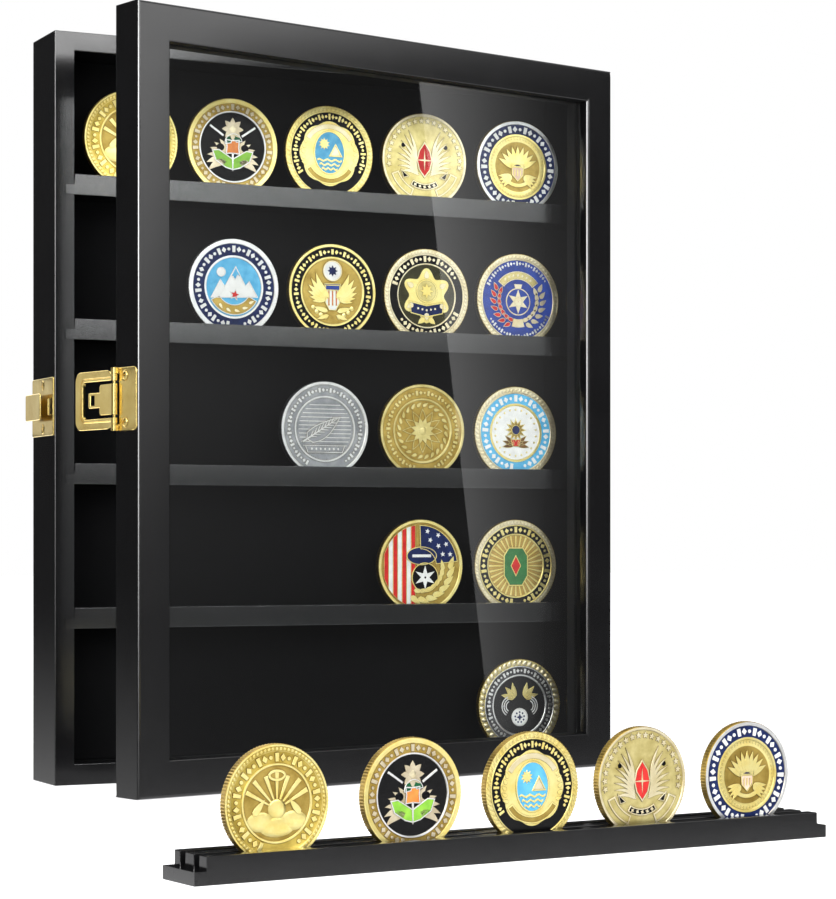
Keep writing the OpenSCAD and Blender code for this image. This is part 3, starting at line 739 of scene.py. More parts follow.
for node, body, rise in (("latch_base_screws", "door", 1), ("keeper_screws", "case", LOW_HEAD)):
    screws = copy_of(node, "round_" + node)
    home = closed if body == "door" else UNMOVED
    points = [home @ v.co for v in screws.data.vertices]
    middle_z = sum(p.z for p in points) / len(points)
    tops = []
    for group in ([p for p in points if p.z > middle_z], [p for p in points if p.z < middle_z]):
        face_x = min(p.x for p in group)
        ys, zs = [p.y for p in group], [p.z for p in group]
        place = Matrix.Translation((face_x - 0.02 * MM, (min(ys) + max(ys)) / 2, (min(zs) + max(zs)) / 2))
        top = bpy.data.objects.new("head", head.data.copy())
        top.data.transform(home.inverted() @ place @ Matrix.Rotation(math.radians(-90), 4, "Y")
                           @ Matrix.Diagonal((1, 1, rise, 1)))
        bpy.context.scene.collection.objects.link(top)
        tops.append(top)
    bpy.ops.object.select_all(action="DESELECT")
    for part in (screws, *tops):
        part.select_set(True)
    bpy.context.view_layer.objects.active = screws
    bpy.ops.object.join()
    finish_piece(screws, body, node, brass, 35)
bpy.data.objects.remove(head)
print("round heads set")

# %% [markdown]
# The hangers on the back are toothed strips of plated steel, held by small nails.

# %% Plated steel
mat, n, l, shader = new_material("plated_steel", (0.5, 0.5, 0.5), 0.35, 1.0)
mottle(n, l, shader, (150, 4, 0.5, [(0.3, (0.42, 0.43, 0.45)), (0.7, (0.58, 0.58, 0.58))]),
       (600, 3, 0.28, 0.45))
dress(mat, "wall_hangers", "hanger_nails")
print("hangers plated")

# %% [markdown]
# ## The coins
# Each coin is struck metal: a reeded edge, a rim, sunk rings and a relief, with hard enamel filled
# into some of the sunk places. The pictures on them are plain ornament of this script's own: suns,
# leaves, hills, rosettes and stars, and small bars and lozenges where a coin would carry lettering.
# One coin is modelled flat at the size of the case's coins, then copied, scaled and stood up.

# %% Coin finishes
# Painted shade: the coin colours are darkened where ambient occlusion finds nooks in the relief.
PAINTED_NOOK_SHADE = [(0.5, (0.10, 0.07, 0.035)), (0.78, (0.62, 0.56, 0.45)), (0.96, (1, 1, 1))]
NOOK_SHADE_REACH = 1.2 * MM
ENAMEL_GLOSS = 0.22


def tone(red, green, blue):
    """A screen colour, 0 to 255, as the linear colour that a shader takes."""
    return tuple(((v / 255 + 0.055) / 1.055) ** 2.4 if v > 10 else v / 3294.6 for v in (red, green, blue))


def tarnished(n, l, color, reach):
    """Darkens the colour in the corners of the relief, where ambient occlusion finds them: painted shade."""
    nook = n.new("ShaderNodeAmbientOcclusion")
    nook.samples = 6
    nook.only_local = True
    nook.inputs["Distance"].default_value = reach
    mix = n.new("ShaderNodeMix")
    mix.data_type = "RGBA"
    mix.blend_type = "MULTIPLY"
    mix.inputs["Factor"].default_value = 1
    dark = ramp(n, l, nook.outputs["AO"], PAINTED_NOOK_SHADE)
    l.new(color, mix.inputs[6])
    l.new(dark, mix.inputs[7])
    return mix.outputs[2]


def coin_metal(name, light, dark, roughness):
    """Struck metal: tone wanders between two colours, nooks get painted shade, with fine pitting."""
    mat, n, l, shader = new_material(name, tone(*light), roughness, 1.0)
    mottle(n, l, shader, (160, 5, 0.6, [(0.3, tone(*dark)), (0.62, tone(*light))]),
           (700, 4, roughness - 0.08, roughness + 0.1), (1300, 4, 0.7, 0.3, 0.0002))
    color = shader.inputs["Base Color"]
    # The base colour is multiplied by painted shade in the relief's nooks.
    l.new(tarnished(n, l, color.links[0].from_socket, NOOK_SHADE_REACH), color)


def enamel(name, color, darker):
    """Hard enamel: glassy, a little uneven in colour and gently dished. Dark ones mirror less, or
    they would look grey."""
    mat, n, l, shader = new_material(name, tone(*color), ENAMEL_GLOSS)
    mottle(n, l, shader, (260, 4, 0.5, [(0.32, tone(*darker)), (0.66, tone(*color))]),
           (500, 2, ENAMEL_GLOSS - 0.06, ENAMEL_GLOSS + 0.08), (420, 2, 0.5, 0.1, 0.0002))
    shader.inputs["IOR"].default_value = 1.22 if max(color) < 100 else 1.4


coin_metal("bright_gold", (254, 240, 164), (248, 224, 128), 0.32)
coin_metal("deep_gold", (230, 204, 104), (204, 174, 78), 0.38)
coin_metal("champagne", (226, 214, 186), (196, 180, 146), 0.34)
coin_metal("ochre_gold", (200, 172, 92), (160, 132, 60), 0.42)
coin_metal("pale_gold", (248, 238, 204), (232, 216, 168), 0.34)
coin_metal("antique_gold", (236, 222, 156), (202, 184, 112), 0.38)
coin_metal("orange_gold", (218, 184, 104), (190, 154, 72), 0.38)
coin_metal("bronze", (150, 108, 62), (104, 70, 36), 0.4)
coin_metal("silver", (240, 240, 238), (220, 220, 218), 0.3)
coin_metal("dull_silver", (168, 170, 172), (132, 134, 138), 0.42)
coin_metal("pewter", (92, 92, 94), (58, 58, 62), 0.42)
enamel("black_enamel", (9, 9, 10), (4, 4, 5))
enamel("navy_enamel", (30, 44, 92), (22, 32, 70))
enamel("royal_enamel", (40, 70, 160), (30, 54, 132))
enamel("sky_enamel", (98, 186, 226), (76, 166, 212))
enamel("lime_enamel", (150, 208, 66), (120, 184, 48))
enamel("leaf_enamel", (28, 92, 58), (18, 68, 44))
enamel("green_enamel", (52, 120, 62), (38, 98, 50))
enamel("orange_enamel", (236, 142, 62), (222, 118, 44))
enamel("red_enamel", (218, 40, 34), (190, 26, 24))
enamel("white_enamel", (240, 240, 236), (226, 226, 222))
enamel("blush_enamel", (238, 208, 186), (226, 190, 166))
enamel("olive_enamel", (66, 64, 38), (48, 46, 28))
print("coin finishes:", len([m for m in bpy.data.materials if "enamel" in m.name or "gold" in m.name]))

# %% [markdown]
# A coin is turned first: half of its section is laid down as a line of points and spun round the
# axis, and every second column of the edge is drawn in, which cuts the reeding. The sunk rings are
# steps of that same section, so a ring of enamel is a band of its faces with another material.

# %% Turning a blank
lo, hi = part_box("coin_row1_2")
COIN_R, HALF = (hi.x - lo.x) / 2, (hi.y - lo.y) / 2
REEDS = 110
FLOOR_H = 1.38 * MM


def finish_index(name):
    """The place of a finish among the coin's own, added if it is new there."""
    coin = bpy.context.edit_object
    if coin.data.materials.find(name) < 0:
        coin.data.materials.append(bpy.data.materials[name])
    return coin.data.materials.find(name)


def paint_selected(name):
    """Gives the selected faces that finish."""
    coin = bpy.context.edit_object
    coin.active_material_index = finish_index(name)
    bpy.ops.object.material_slot_assign()


def coin_blank(front, edge="ochre_gold"):
    """Turns the blank. front lists (radius, height in mm, finish from there inwards)."""
    half = HALF / MM
    rows = [(1.0, half - 0.25, edge), *front]
    back = [(1.0, -half + 0.25), (0.985, -half), (0.93, -half), (0.91, -half + 0.32)]
    line = [(r, h) for r, h, f in reversed(rows)] + back
    bpy.ops.mesh.select_all(action="DESELECT")
    bpy.ops.mesh.primitive_circle_add(vertices=len(line), radius=0.001, fill_type="NOTHING")
    mesh = bpy.context.edit_object.data
    bm = bmesh.from_edit_mesh(mesh)
    verts = [v for v in bm.verts if v.select]
    closing = [e for e in verts[-1].link_edges if verts[0] in e.verts]
    bmesh.ops.delete(bm, geom=closing, context="EDGES")
    for vert, (r, h) in zip(verts, line):
        vert.co = (r * COIN_R, 0, h * MM)
    bmesh.update_edit_mesh(mesh)
    steps = 2 * REEDS
    bpy.ops.mesh.spin(steps=steps, angle=2 * math.pi, center=(0, 0, 0), axis=(0, 0, 1))
    bpy.ops.mesh.select_linked()
    bpy.ops.mesh.remove_doubles(threshold=0.000002)
    bpy.ops.mesh.fill_holes(sides=0)
    bpy.ops.mesh.normals_make_consistent(inside=False)
    bm = bmesh.from_edit_mesh(mesh)
    slots = [(r, finish_index(f)) for r, h, f in rows]
    edge_slot, metal_slot = finish_index(edge), finish_index(front[0][2])
    for face in bm.faces:
        if not face.select:
            continue
        middle = face.calc_center_median()
        radii = [v.co.xy.length / COIN_R for v in face.verts]
        r = (min(radii) + max(radii)) / 2 if len(face.verts) < 9 else 0
        if middle.z > -HALF * 0.5:
            face.material_index = [s for edge_r, s in slots if edge_r >= r - 0.0005][-1]
        else:
            face.material_index = metal_slot
        if min(radii) > 0.995:
            face.material_index = edge_slot
    for vert in bm.verts:
        column = round(math.atan2(vert.co.y, vert.co.x) / (2 * math.pi) * steps)
        vert.select = vert.select and vert.co.xy.length > 0.995 * COIN_R and column % 2 == 1
    bm.select_flush_mode()
    bmesh.update_edit_mesh(mesh)
    bpy.ops.transform.resize(value=(0.988, 0.988, 1), center_override=(0, 0, 0))


print("coin radius", round(COIN_R / MM, 2), "half thickness", round(HALF / MM, 2))

# %% [markdown]
# The relief is built up from raised shapes. Each is an outline filled with a face, extruded up,
# with its edge sloped by an inset. Where enamel is laid in, the top is inset again, which leaves
# a thin metal wall, and the middle is pushed down and given the enamel. Beads are flattened balls.
# Whatever goes round the coin is made once and spun round the axis as copies.

# %% Relief helpers
def plate(outline, top, finish, fill=None, wall=0.4, slope=0.12, floor=FLOOR_H / MM):
    """Raises an outline (in coin radii) to a height in mm, with enamel inside a wall if asked."""
    bpy.ops.mesh.select_all(action="DESELECT")
    bpy.ops.mesh.primitive_circle_add(vertices=len(outline), radius=0.001, fill_type="NGON")
    mesh = bpy.context.edit_object.data
    bm = bmesh.from_edit_mesh(mesh)
    face = next(f for f in bm.faces if f.select)
    area = sum(a[0] * b[1] - b[0] * a[1] for a, b in zip(outline, outline[1:] + outline[:1]))
    points = outline if area > 0 else outline[::-1]
    for vert, (x, y) in zip(list(face.verts), points):
        vert.co = (x * COIN_R, y * COIN_R, (floor - 0.1) * MM)
    face.normal_update()
    if face.normal.z < 0:
        face.normal_flip()
    bmesh.update_edit_mesh(mesh)
    paint_selected(finish)
    lift = top - floor + 0.1 - slope
    bpy.ops.mesh.extrude_region_move(TRANSFORM_OT_translate={"value": (0, 0, lift * MM)})
    bpy.ops.mesh.inset(thickness=slope * MM, depth=slope * MM)
    if fill:
        bpy.ops.mesh.inset(thickness=wall * MM, depth=0)
        bpy.ops.mesh.inset(thickness=0.05 * MM, depth=-0.14 * MM)
        paint_selected(fill)


def around(count, start=None, end=None, center=(0, 0)):
    """Copies the last shape round a centre: the full circle, or up to a last angle in degrees."""
    bpy.ops.mesh.select_linked()
    turn = 360 * (count - 1) / count if start is None else end - start
    bpy.ops.mesh.spin(steps=count - 1, dupli=True, angle=math.radians(turn),
                      center=(center[0] * COIN_R, center[1] * COIN_R, 0), axis=(0, 0, 1))


def dome(x, y, rx, ry, top, finish, turn=0, sides=10, floor=FLOOR_H / MM):
    """A flattened ball: radii in coin radii, height of its top in mm."""
    bpy.ops.mesh.select_all(action="DESELECT")
    bpy.ops.mesh.primitive_uv_sphere_add(
        segments=sides, ring_count=max(4, sides // 2), radius=1,
        location=(x * COIN_R, y * COIN_R, floor * MM), rotation=(0, 0, math.radians(turn)),
        scale=(rx * COIN_R, ry * COIN_R, (top - floor) * MM))
    paint_selected(finish)


def polar(angle, r, x=0.0, y=0.0):
    """A place at that angle, clockwise from the top."""
    a = math.radians(angle)
    return x + r * math.sin(a), y + r * math.cos(a)


def oval(x, y, rx, ry, count=28):
    """A round or longish outline."""
    return [(x + rx * math.cos(2 * math.pi * k / count), y + ry * math.sin(2 * math.pi * k / count))
            for k in range(count)]


def star(x, y, tips, outer, inner, turn=0):
    """An outline of so many tips, the first at the top unless it is turned."""
    return [polar(turn + 180 * k / tips, inner if k % 2 else outer, x, y) for k in range(2 * tips)]


def arc_band(a0, a1, r0, r1, count=14, x=0.0, y=0.0):
    """A piece of a ring, from angle to angle and radius to radius."""
    steps = [a0 + (a1 - a0) * k / count for k in range(count + 1)]
    return [polar(a, r1, x, y) for a in steps] + [polar(a, r0, x, y) for a in reversed(steps)]


def blade(x, y, angle, length, width, bow=0.0, count=7):
    """A leaf from a place outwards; bow bends it sideways."""
    ux, uy = polar(angle, 1)
    left, right = [], []
    for k in range(count + 1):
        t = k / count
        w = width / 2 * math.sin(math.pi * min(1, 0.12 + 0.88 * t) ** 0.8) if 0 < k < count else 0
        s = bow * math.sin(math.pi * t)
        cx, cy = x + ux * t * length + uy * s, y + uy * t * length - ux * s
        left.append((cx - uy * w, cy + ux * w))
        right.append((cx + uy * w, cy - ux * w))
    return left + right[-2:0:-1]


def bar(x0, y0, x1, y1, w0, w1=None):
    """A straight bar between two places, its widths in coin radii."""
    w1 = w0 if w1 is None else w1
    d = math.hypot(x1 - x0, y1 - y0)
    nx, ny = (y1 - y0) / d / 2, -(x1 - x0) / d / 2
    return [(x0 - nx * w0, y0 - ny * w0), (x0 + nx * w0, y0 + ny * w0),
            (x1 + nx * w1, y1 + ny * w1), (x1 - nx * w1, y1 - ny * w1)]


def beads(count, r, size, top, finish):
    """A ring of small round beads."""
    dome(0, r, size, size, top, finish, sides=6)
    around(count)


def rope(count, r, width, top, finish, lean=38):
    """A twisted cord laid on the rim: one leaning strand, copied round."""
    length = 2 * math.pi * r / count
    dome(0, r, width * 0.6, length * 0.46, top, finish, turn=90 - lean, sides=8, floor=1.2)
    around(count)


def marks(r, size, count, top, finish, start, end):
    """Small upright bars and lozenges in turn, in place of lettering."""
    gap = (end - start) / (3 * count)
    for k, (wide, tall) in enumerate(((0.3, 1.0), (0.46, 0.9), (0.36, 0.7))):
        a, half, rise = start + k * gap, wide * gap, tall * size / 2
        if k == 1:
            outline = [polar(a, r + rise), polar(a + half, r), polar(a, r - rise), polar(a - half, r)]
        elif k == 0:
            outline = arc_band(a - half, a + half, r - rise, r + rise, 1)
        else:
            x, y = polar(a, r)
            outline = oval(x, y, rise * 0.7, rise * 0.7, 8)
        plate(outline, top, finish, slope=0.06)
        around(count, a, a + (end - start) * (count - 1) / count)


def petals(count, r, length, width, top, finish, fill=None, start=0.0, y=0.0):
    """Leaves round a centre. Neighbours overlap, so their heights differ a little."""
    for k in range(count):
        a = start + 360 * k / count
        plate(blade(*polar(a, r, 0, y), a, length, width), top + 0.025 * (k % 2) + 0.01 * (k % 3),
              finish, fill, 0.3, slope=0.08)


print("relief helpers ready")

# %% Reverse side
def reverse(metal):
    """A plain rosette inside beads, made face up and then turned to the back."""
    beads(60, 0.84, 0.022, 1.6, metal)
    plate(blade(0, 0.3, 0, 0.4, 0.2), 1.6, metal)
    around(8)
    plate(blade(*polar(22.5, 0.36), 22.5, 0.3, 0.14), 1.52, metal)
    around(8)
    plate(oval(0, 0, 0.26, 0.26, 32), 1.62, metal, metal, 0.8)
    dome(0, 0, 0.14, 0.14, 1.68, metal, sides=16)
    bpy.ops.mesh.select_all(action="SELECT")
    bpy.ops.transform.rotate(value=math.pi, orient_axis="Y", center_override=(0, 0, 0))


def bench(name):
    """An empty piece on the bench, open in edit mode."""
    bpy.ops.object.select_all(action="DESELECT")
    piece = bpy.data.objects.new(name, bpy.data.meshes.new(name))
    bpy.context.scene.collection.objects.link(piece)
    piece.select_set(True)
    bpy.context.view_layer.objects.active = piece
    bpy.ops.object.mode_set(mode="EDIT")
    bpy.ops.mesh.select_mode(type="FACE")
    return piece


def strike(relief, metal, front, edge="ochre_gold"):
    """Makes one coin: the reverse, the blank, and the front that relief() builds, then joins them
    and keeps the coin under the relief's own name."""
    parts = [bench(relief.__name__ + "_coin")]
    reverse(metal)
    bpy.ops.object.mode_set(mode="OBJECT")
    parts.append(bench("blank"))
    bpy.ops.mesh.select_mode(type="VERT")
    coin_blank(front, edge)
    bpy.ops.object.mode_set(mode="OBJECT")
    parts.append(bench("relief"))
    relief()
    bpy.ops.object.mode_set(mode="OBJECT")
    for part in parts:
        part.select_set(True)
    bpy.context.view_layer.objects.active = parts[0]
    bpy.ops.object.join()
    designs[relief.__name__] = parts[0]
    print(parts[0].name, "faces:", len(parts[0].data.polygons))


TOP = HALF / MM
designs = {}

# %% [markdown]
# The first coin is bright gold all over: a sun with rays over hills, in a ring of small marks.

# %% Gold sunrise coin
def sunrise():
    rope(76, 0.915, 0.075, TOP, "bright_gold")
    marks(0.775, 0.15, 12, TOP, "bright_gold", -156, 156)
    for a in (-62, -42, -21, 0, 21, 42, 62):
        x, y = polar(a, 0.17, 0, -0.1)
        tip = polar(a, 0.66 if a % 2 == 0 else 0.6, 0, -0.1)
        plate(bar(x, y, *tip, 0.035, 0.085), TOP - 0.08, "bright_gold")
    dome(0, -0.1, 0.17, 0.17, TOP, "bright_gold", sides=20)
    plate(oval(0, 0.47, 0.17, 0.1), TOP, "bright_gold", "ochre_gold", 0.9)
    for x, y, rx, ry in ((-0.32, -0.3, 0.26, 0.17), (0.32, -0.3, 0.26, 0.17), (0, -0.4, 0.34, 0.17)):
        dome(x, y, rx, ry, TOP, "bright_gold", sides=18)
    for x in (-0.46, 0.46):
        plate(blade(x, -0.2, 40 if x < 0 else -40, 0.36, 0.12), TOP - 0.02, "bright_gold")


strike(sunrise, "bright_gold", [
    (0.985, TOP, "bright_gold"), (0.955, TOP, "bright_gold"), (0.945, 1.5, "deep_gold"),
    (0.88, 1.52, "bright_gold"), (0.87, 1.42, "deep_gold"), (0.68, 1.42, "deep_gold"),
    (0.67, 1.64, "bright_gold"), (0.64, 1.64, "bright_gold"), (0.63, 1.38, "ochre_gold")])

# %% [markdown]
# The second has a black centre with pale wings of leaves, a flower above and a green bowl below.

# %% Black garden coin
def garden():
    marks(0.82, 0.125, 14, TOP - 0.04, "champagne", -165, 165)
    for side in (-1, 1):
        for k in range(7):
            wing = blade(side * 0.14, -0.3 + 0.02 * k, side * (118 - 19 * k), 0.46 - 0.015 * k,
                         0.15, side * -0.05)
            plate(wing, TOP - 0.16 - 0.02 * k, "champagne", slope=0.08)
        plate(bar(side * 0.2, 0.22, side * 0.5, 0.42, 0.045), TOP - 0.1, "silver")
        dome(side * 0.27, -0.02, 0.09, 0.08, TOP, "black_enamel", sides=14)
    petals(8, 0.05, 0.19, 0.12, TOP - 0.1, "champagne", y=0.36)
    dome(0, 0.36, 0.1, 0.1, TOP + 0.02, "pale_gold", sides=14)
    bowl = [(-0.46, -0.08), (-0.3, -0.06), (0, -0.24), (0.3, -0.06), (0.46, -0.08), (0.38, -0.3),
            (0.16, -0.44), (0, -0.48), (-0.16, -0.44), (-0.38, -0.3)]
    plate(bowl, TOP - 0.02, "silver", "lime_enamel", 0.4)
    plate(star(0, 0.0, 4, 0.22, 0.14, 45), TOP, "silver", "orange_enamel", 0.4)
    plate(arc_band(-100, 80, 0.05, 0.2, 10, 0.02, 0.08), TOP + 0.02, "silver", "leaf_enamel", 0.3)
    plate(bar(0, -0.12, 0, -0.5, 0.05, 0.02), TOP, "silver")


strike(garden, "bright_gold", [
    (0.985, TOP, "bright_gold"), (0.945, TOP, "bright_gold"), (0.925, 1.58, "bright_gold"),
    (0.905, 1.6, "bright_gold"), (0.895, 1.44, "ochre_gold"), (0.745, 1.44, "ochre_gold"),
    (0.735, 1.66, "silver"), (0.71, 1.66, "silver"), (0.7, 1.38, "black_enamel")])

# %% [markdown]
# The third has a cord for its rim, a black ring, and a sky-blue oval in a gold lobed plate.

# %% Blue lake coin
def lake():
    rope(62, 0.93, 0.115, TOP, "bright_gold")
    marks(0.775, 0.12, 14, TOP - 0.06, "bright_gold", -122, 122)
    lobes = [polar(a, 0.63 + 0.05 * abs(math.cos(math.radians(a * 4)))) for a in range(0, 360, 6)]
    plate(lobes, 1.5, "bright_gold", slope=0.1)
    plate(arc_band(-58, 58, 0.52, 0.62), TOP - 0.05, "pale_gold")
    plate(arc_band(122, 238, 0.5, 0.64), TOP - 0.04, "bright_gold", "ochre_gold", 0.5)
    plate(oval(0, 0.02, 0.36, 0.46), TOP, "bright_gold", "sky_enamel", 0.5, floor=1.5)
    top = TOP + 0.02
    plate(star(-0.12, 0.2, 10, 0.13, 0.08), top, "bright_gold", floor=1.5)
    plate([(-0.02, -0.06), (0.14, 0.22), (0.3, -0.06)], top, "bright_gold", "pale_gold", 0.4, floor=1.5)
    for k, y in enumerate((-0.14, -0.23, -0.32)):
        half = 0.28 - 0.05 * k
        wave = [(-half + 2 * half * s / 12, y + 0.022 * math.sin(s * 1.6)) for s in range(13)]
        plate([(x, v + 0.02) for x, v in wave] + [(x, v - 0.02) for x, v in reversed(wave)],
              top, "bright_gold", slope=0.08, floor=1.5)
    for side in (-1, 1):
        for k in range(5):
            leaf = blade(*polar(side * (70 + 11 * k), 0.56), side * (20 + 14 * k), 0.13, 0.07)
            plate(leaf, TOP - 0.02, "bright_gold", floor=1.5)


strike(lake, "bright_gold", [
    (0.985, 1.45, "bright_gold"), (0.895, 1.45, "bright_gold"), (0.885, 1.64, "bright_gold"),
    (0.87, 1.64, "bright_gold"), (0.86, 1.4, "black_enamel")])

# %% [markdown]
# The fourth is pale matt gold with a red lozenge, a fan of leaves on each side and small stars.

# %% Red lozenge coin
def lozenge():
    plate(star(*polar(-98, 0.84), 5, 0.068, 0.03, -98), TOP - 0.04, "pale_gold", slope=0.06)
    around(20, -98, 98)
    for side in (-1, 1):
        for k in range(8):
            wing = blade(side * (0.12 + 0.012 * k), -0.32 + 0.035 * k, side * (84 - 10 * k), 0.48 + 0.035 * k,
                         0.07, side * -0.06)
            plate(wing, TOP - 0.12 + 0.02 * k, "pale_gold", slope=0.08)
        plate(arc_band(side * 112, side * 158, 0.66, 0.84), TOP - 0.02, "pale_gold", "antique_gold", 0.6)
        dome(side * 0.5, 0.3, 0.05, 0.05, TOP, "black_enamel", sides=12)
        plate([(side * 0.36, -0.36), (side * 0.56, -0.2), (side * 0.5, -0.4)],
              TOP, "pale_gold", "black_enamel", 0.25)
    kite = [(0, 0.4), (0.14, 0.2), (0.19, 0.0), (0.14, -0.2), (0, -0.38), (-0.14, -0.2), (-0.19, 0.0),
            (-0.14, 0.2)]
    plate(kite, TOP + 0.03, "pale_gold", "red_enamel", 0.5)
    plate(star(0, 0.0, 4, 0.24, 0.025), TOP + 0.03, "pale_gold", slope=0.06)
    plate(arc_band(148, 212, 0.5, 0.63), TOP, "pale_gold", "black_enamel", 0.4)
    plate(star(*polar(157, 0.565), 4, 0.045, 0.025), TOP + 0.02, "pale_gold", slope=0.05)
    around(5, 157, 203)


strike(lozenge, "pale_gold", [
    (0.985, TOP, "pale_gold"), (0.945, TOP, "pale_gold"), (0.93, 1.42, "antique_gold")])

# %% [markdown]
# The fifth has a silver rim, a navy ring, 52 small beads, and a gold fan over a barred cup.

# %% Navy ring coin
def navy_fan():
    marks(0.815, 0.145, 13, TOP - 0.05, "white_enamel", -172, 172)
    beads(52, 0.615, 0.021, TOP - 0.08, "bright_gold")
    for k in range(9):
        a = -64 + 16 * k
        plate(blade(*polar(a, 0.1, 0, -0.06), a, 0.42, 0.12), TOP - 0.1 + 0.03 * (4 - abs(k - 4)),
              "bright_gold", slope=0.08)
    for side in (-1, 1):
        for k in range(4):
            plate(blade(side * 0.14, -0.2, side * (92 + 16 * k), 0.34, 0.1), TOP - 0.12 + 0.03 * k,
                  "bright_gold", slope=0.08)
    cup = [(-0.15, 0.02), (0.15, 0.02), (0.14, -0.18), (0, -0.32), (-0.14, -0.18)]
    plate(cup, TOP, "bright_gold", "blush_enamel", 0.35)
    for x in (-0.07, 0, 0.07):
        plate(bar(x, -0.06, x, -0.2, 0.025), TOP + 0.02, "bright_gold", slope=0.05)
    plate([(-0.17, 0.07), (0.17, 0.07), (0.17, -0.02), (-0.17, -0.02)],
          TOP + 0.04, "bright_gold", "navy_enamel", 0.25)
    plate(arc_band(140, 220, 0.36, 0.44), TOP - 0.02, "bright_gold")


strike(navy_fan, "silver", [
    (0.985, TOP, "silver"), (0.925, TOP, "silver"), (0.915, 1.4, "navy_enamel"),
    (0.715, 1.4, "navy_enamel"), (0.705, 1.66, "bright_gold"), (0.665, 1.66, "bright_gold"),
    (0.65, 1.4, "bright_gold"), (0.56, 1.42, "bright_gold"), (0.54, 1.38, "ochre_gold")])


# %% [markdown]
# White mountains under a blue sky, with a small red sun, inside a navy ring and a silver rim.

# %% Blue peaks coin
def peaks():
    marks(0.785, 0.135, 14, TOP - 0.04, "white_enamel", -170, 170)
    rope(96, 0.955, 0.05, TOP + 0.04, "silver")
    ridge = [(-0.52, -0.24), (-0.3, 0.16), (-0.2, 0.02), (0.04, 0.44), (0.26, 0.04), (0.34, 0.14),
             (0.54, -0.2)]
    plate(ridge, TOP - 0.04, "silver", "white_enamel", 0.3)
    plate([(-0.1, 0.16), (0.04, 0.42), (0.16, 0.2), (0.08, 0.24), (0.03, 0.14), (-0.03, 0.22)],
          TOP + 0.02, "silver", "sky_enamel", 0.15)
    plate(oval(-0.28, 0.3, 0.1, 0.1), TOP, "silver", "white_enamel", 0.2)
    plate(arc_band(118, 242, 0.36, 0.58), TOP, "silver", "ochre_gold", 0.3)
    plate(star(0.02, -0.16, 5, 0.13, 0.06, 12), TOP + 0.04, "silver", "red_enamel", 0.2)
    for k in range(5):
        plate(blade(*polar(135 + 22 * k, 0.47), 60 + 22 * k, 0.13, 0.06), TOP + 0.02, "pale_gold", slope=0.05)


strike(peaks, "silver", [
    (0.985, TOP, "silver"), (0.9, TOP, "silver"), (0.89, 1.42, "navy_enamel"), (0.66, 1.42, "navy_enamel"),
    (0.65, 1.66, "silver"), (0.61, 1.66, "silver"), (0.6, 1.38, "sky_enamel")], "silver")

# %% [markdown]
# Gold leaves spread from a barred cup under a white flower disc, on ochre inside a black ring.

# %% White flower coin
def flower():
    marks(0.83, 0.11, 18, TOP - 0.04, "bright_gold", -172, 172)
    for side in (-1, 1):
        for k in range(6):
            leaf = blade(side * 0.08, -0.14 + 0.02 * k, side * (30 + 17 * k), 0.6 - 0.035 * k,
                         0.15, side * 0.05)
            plate(leaf, TOP + 0.04 - 0.03 * k, "bright_gold", slope=0.08)
        for k in range(4):
            x, y = polar(side * (128 + 12 * k), 0.56)
            dome(x, y, 0.05, 0.05, TOP - 0.05, "bright_gold", sides=10)
    plate(oval(0, 0.43, 0.22, 0.22, 30), TOP, "pale_gold", "white_enamel", 0.5)
    plate(star(0, 0.43, 8, 0.12, 0.07, 0), TOP + 0.03, "navy_enamel", slope=0.05)
    cup = [(-0.17, 0.14), (0.17, 0.14), (0.17, -0.24), (0.08, -0.4), (-0.08, -0.4), (-0.17, -0.24)]
    plate(cup, TOP + 0.02, "bright_gold", "white_enamel", 0.3)
    for x in (-0.085, 0, 0.085):
        plate(bar(x, 0.02, x, -0.3, 0.035), TOP + 0.05, "bright_gold", "red_enamel", 0.12, slope=0.04)
    plate([(-0.19, 0.17), (0.19, 0.17), (0.19, 0.02), (-0.19, 0.02)],
          TOP + 0.07, "bright_gold", "royal_enamel", 0.25)
    for side in (-1, 1):
        plate(blade(side * 0.1, -0.42, side * 76, 0.36, 0.11), TOP - 0.02, "bright_gold")
        plate(blade(side * 0.08, -0.5, side * 108, 0.3, 0.09), TOP - 0.06, "bright_gold")


strike(flower, "bright_gold", [
    (0.985, TOP, "bright_gold"), (0.935, TOP, "bright_gold"), (0.925, 1.4, "black_enamel"),
    (0.735, 1.4, "black_enamel"), (0.725, 1.66, "bright_gold"), (0.695, 1.66, "bright_gold"),
    (0.68, 1.38, "ochre_gold")])

# %% [markdown]
# A lobed gold badge with a round medallion and a dark band, on an olive ground in a black ring.

# %% Olive badge coin
def badge():
    rope(72, 0.94, 0.1, TOP, "pale_gold")
    marks(0.785, 0.13, 6, TOP - 0.04, "pale_gold", -72, 66)
    marks(0.785, 0.13, 5, TOP - 0.04, "pale_gold", 118, 236)
    outline = [polar(a, 0.5 + 0.09 * math.cos(math.radians(a * 6))) for a in range(0, 360, 5)]
    plate(outline, 1.54, "bright_gold", slope=0.12)
    plate(blade(0, 0.36, 0, 0.18, 0.12), TOP - 0.05, "pale_gold", floor=1.5)
    around(6)
    plate(oval(0, 0.1, 0.25, 0.25, 36), TOP + 0.04, "bright_gold", "antique_gold", 0.5, floor=1.5)
    plate(star(0, 0.1, 8, 0.17, 0.09), TOP + 0.06, "bright_gold", floor=1.5)
    dome(0, 0.1, 0.05, 0.05, TOP + 0.1, "bright_gold", floor=1.5)
    plate([(-0.42, -0.12), (0, -0.2), (0.42, -0.12), (0.38, -0.38), (0, -0.46), (-0.38, -0.38)],
          TOP + 0.04, "bright_gold", "navy_enamel", 0.4, floor=1.5)
    for x in (-0.2, -0.1, 0, 0.1, 0.2):
        dome(x, -0.31 + 0.35 * abs(x) * 0.5, 0.03, 0.03, TOP + 0.06, "pale_gold", sides=8, floor=1.5)
    for side in (-1, 1):
        plate(blade(side * 0.05, -0.48, side * 128, 0.2, 0.12), TOP, "bright_gold", floor=1.45)


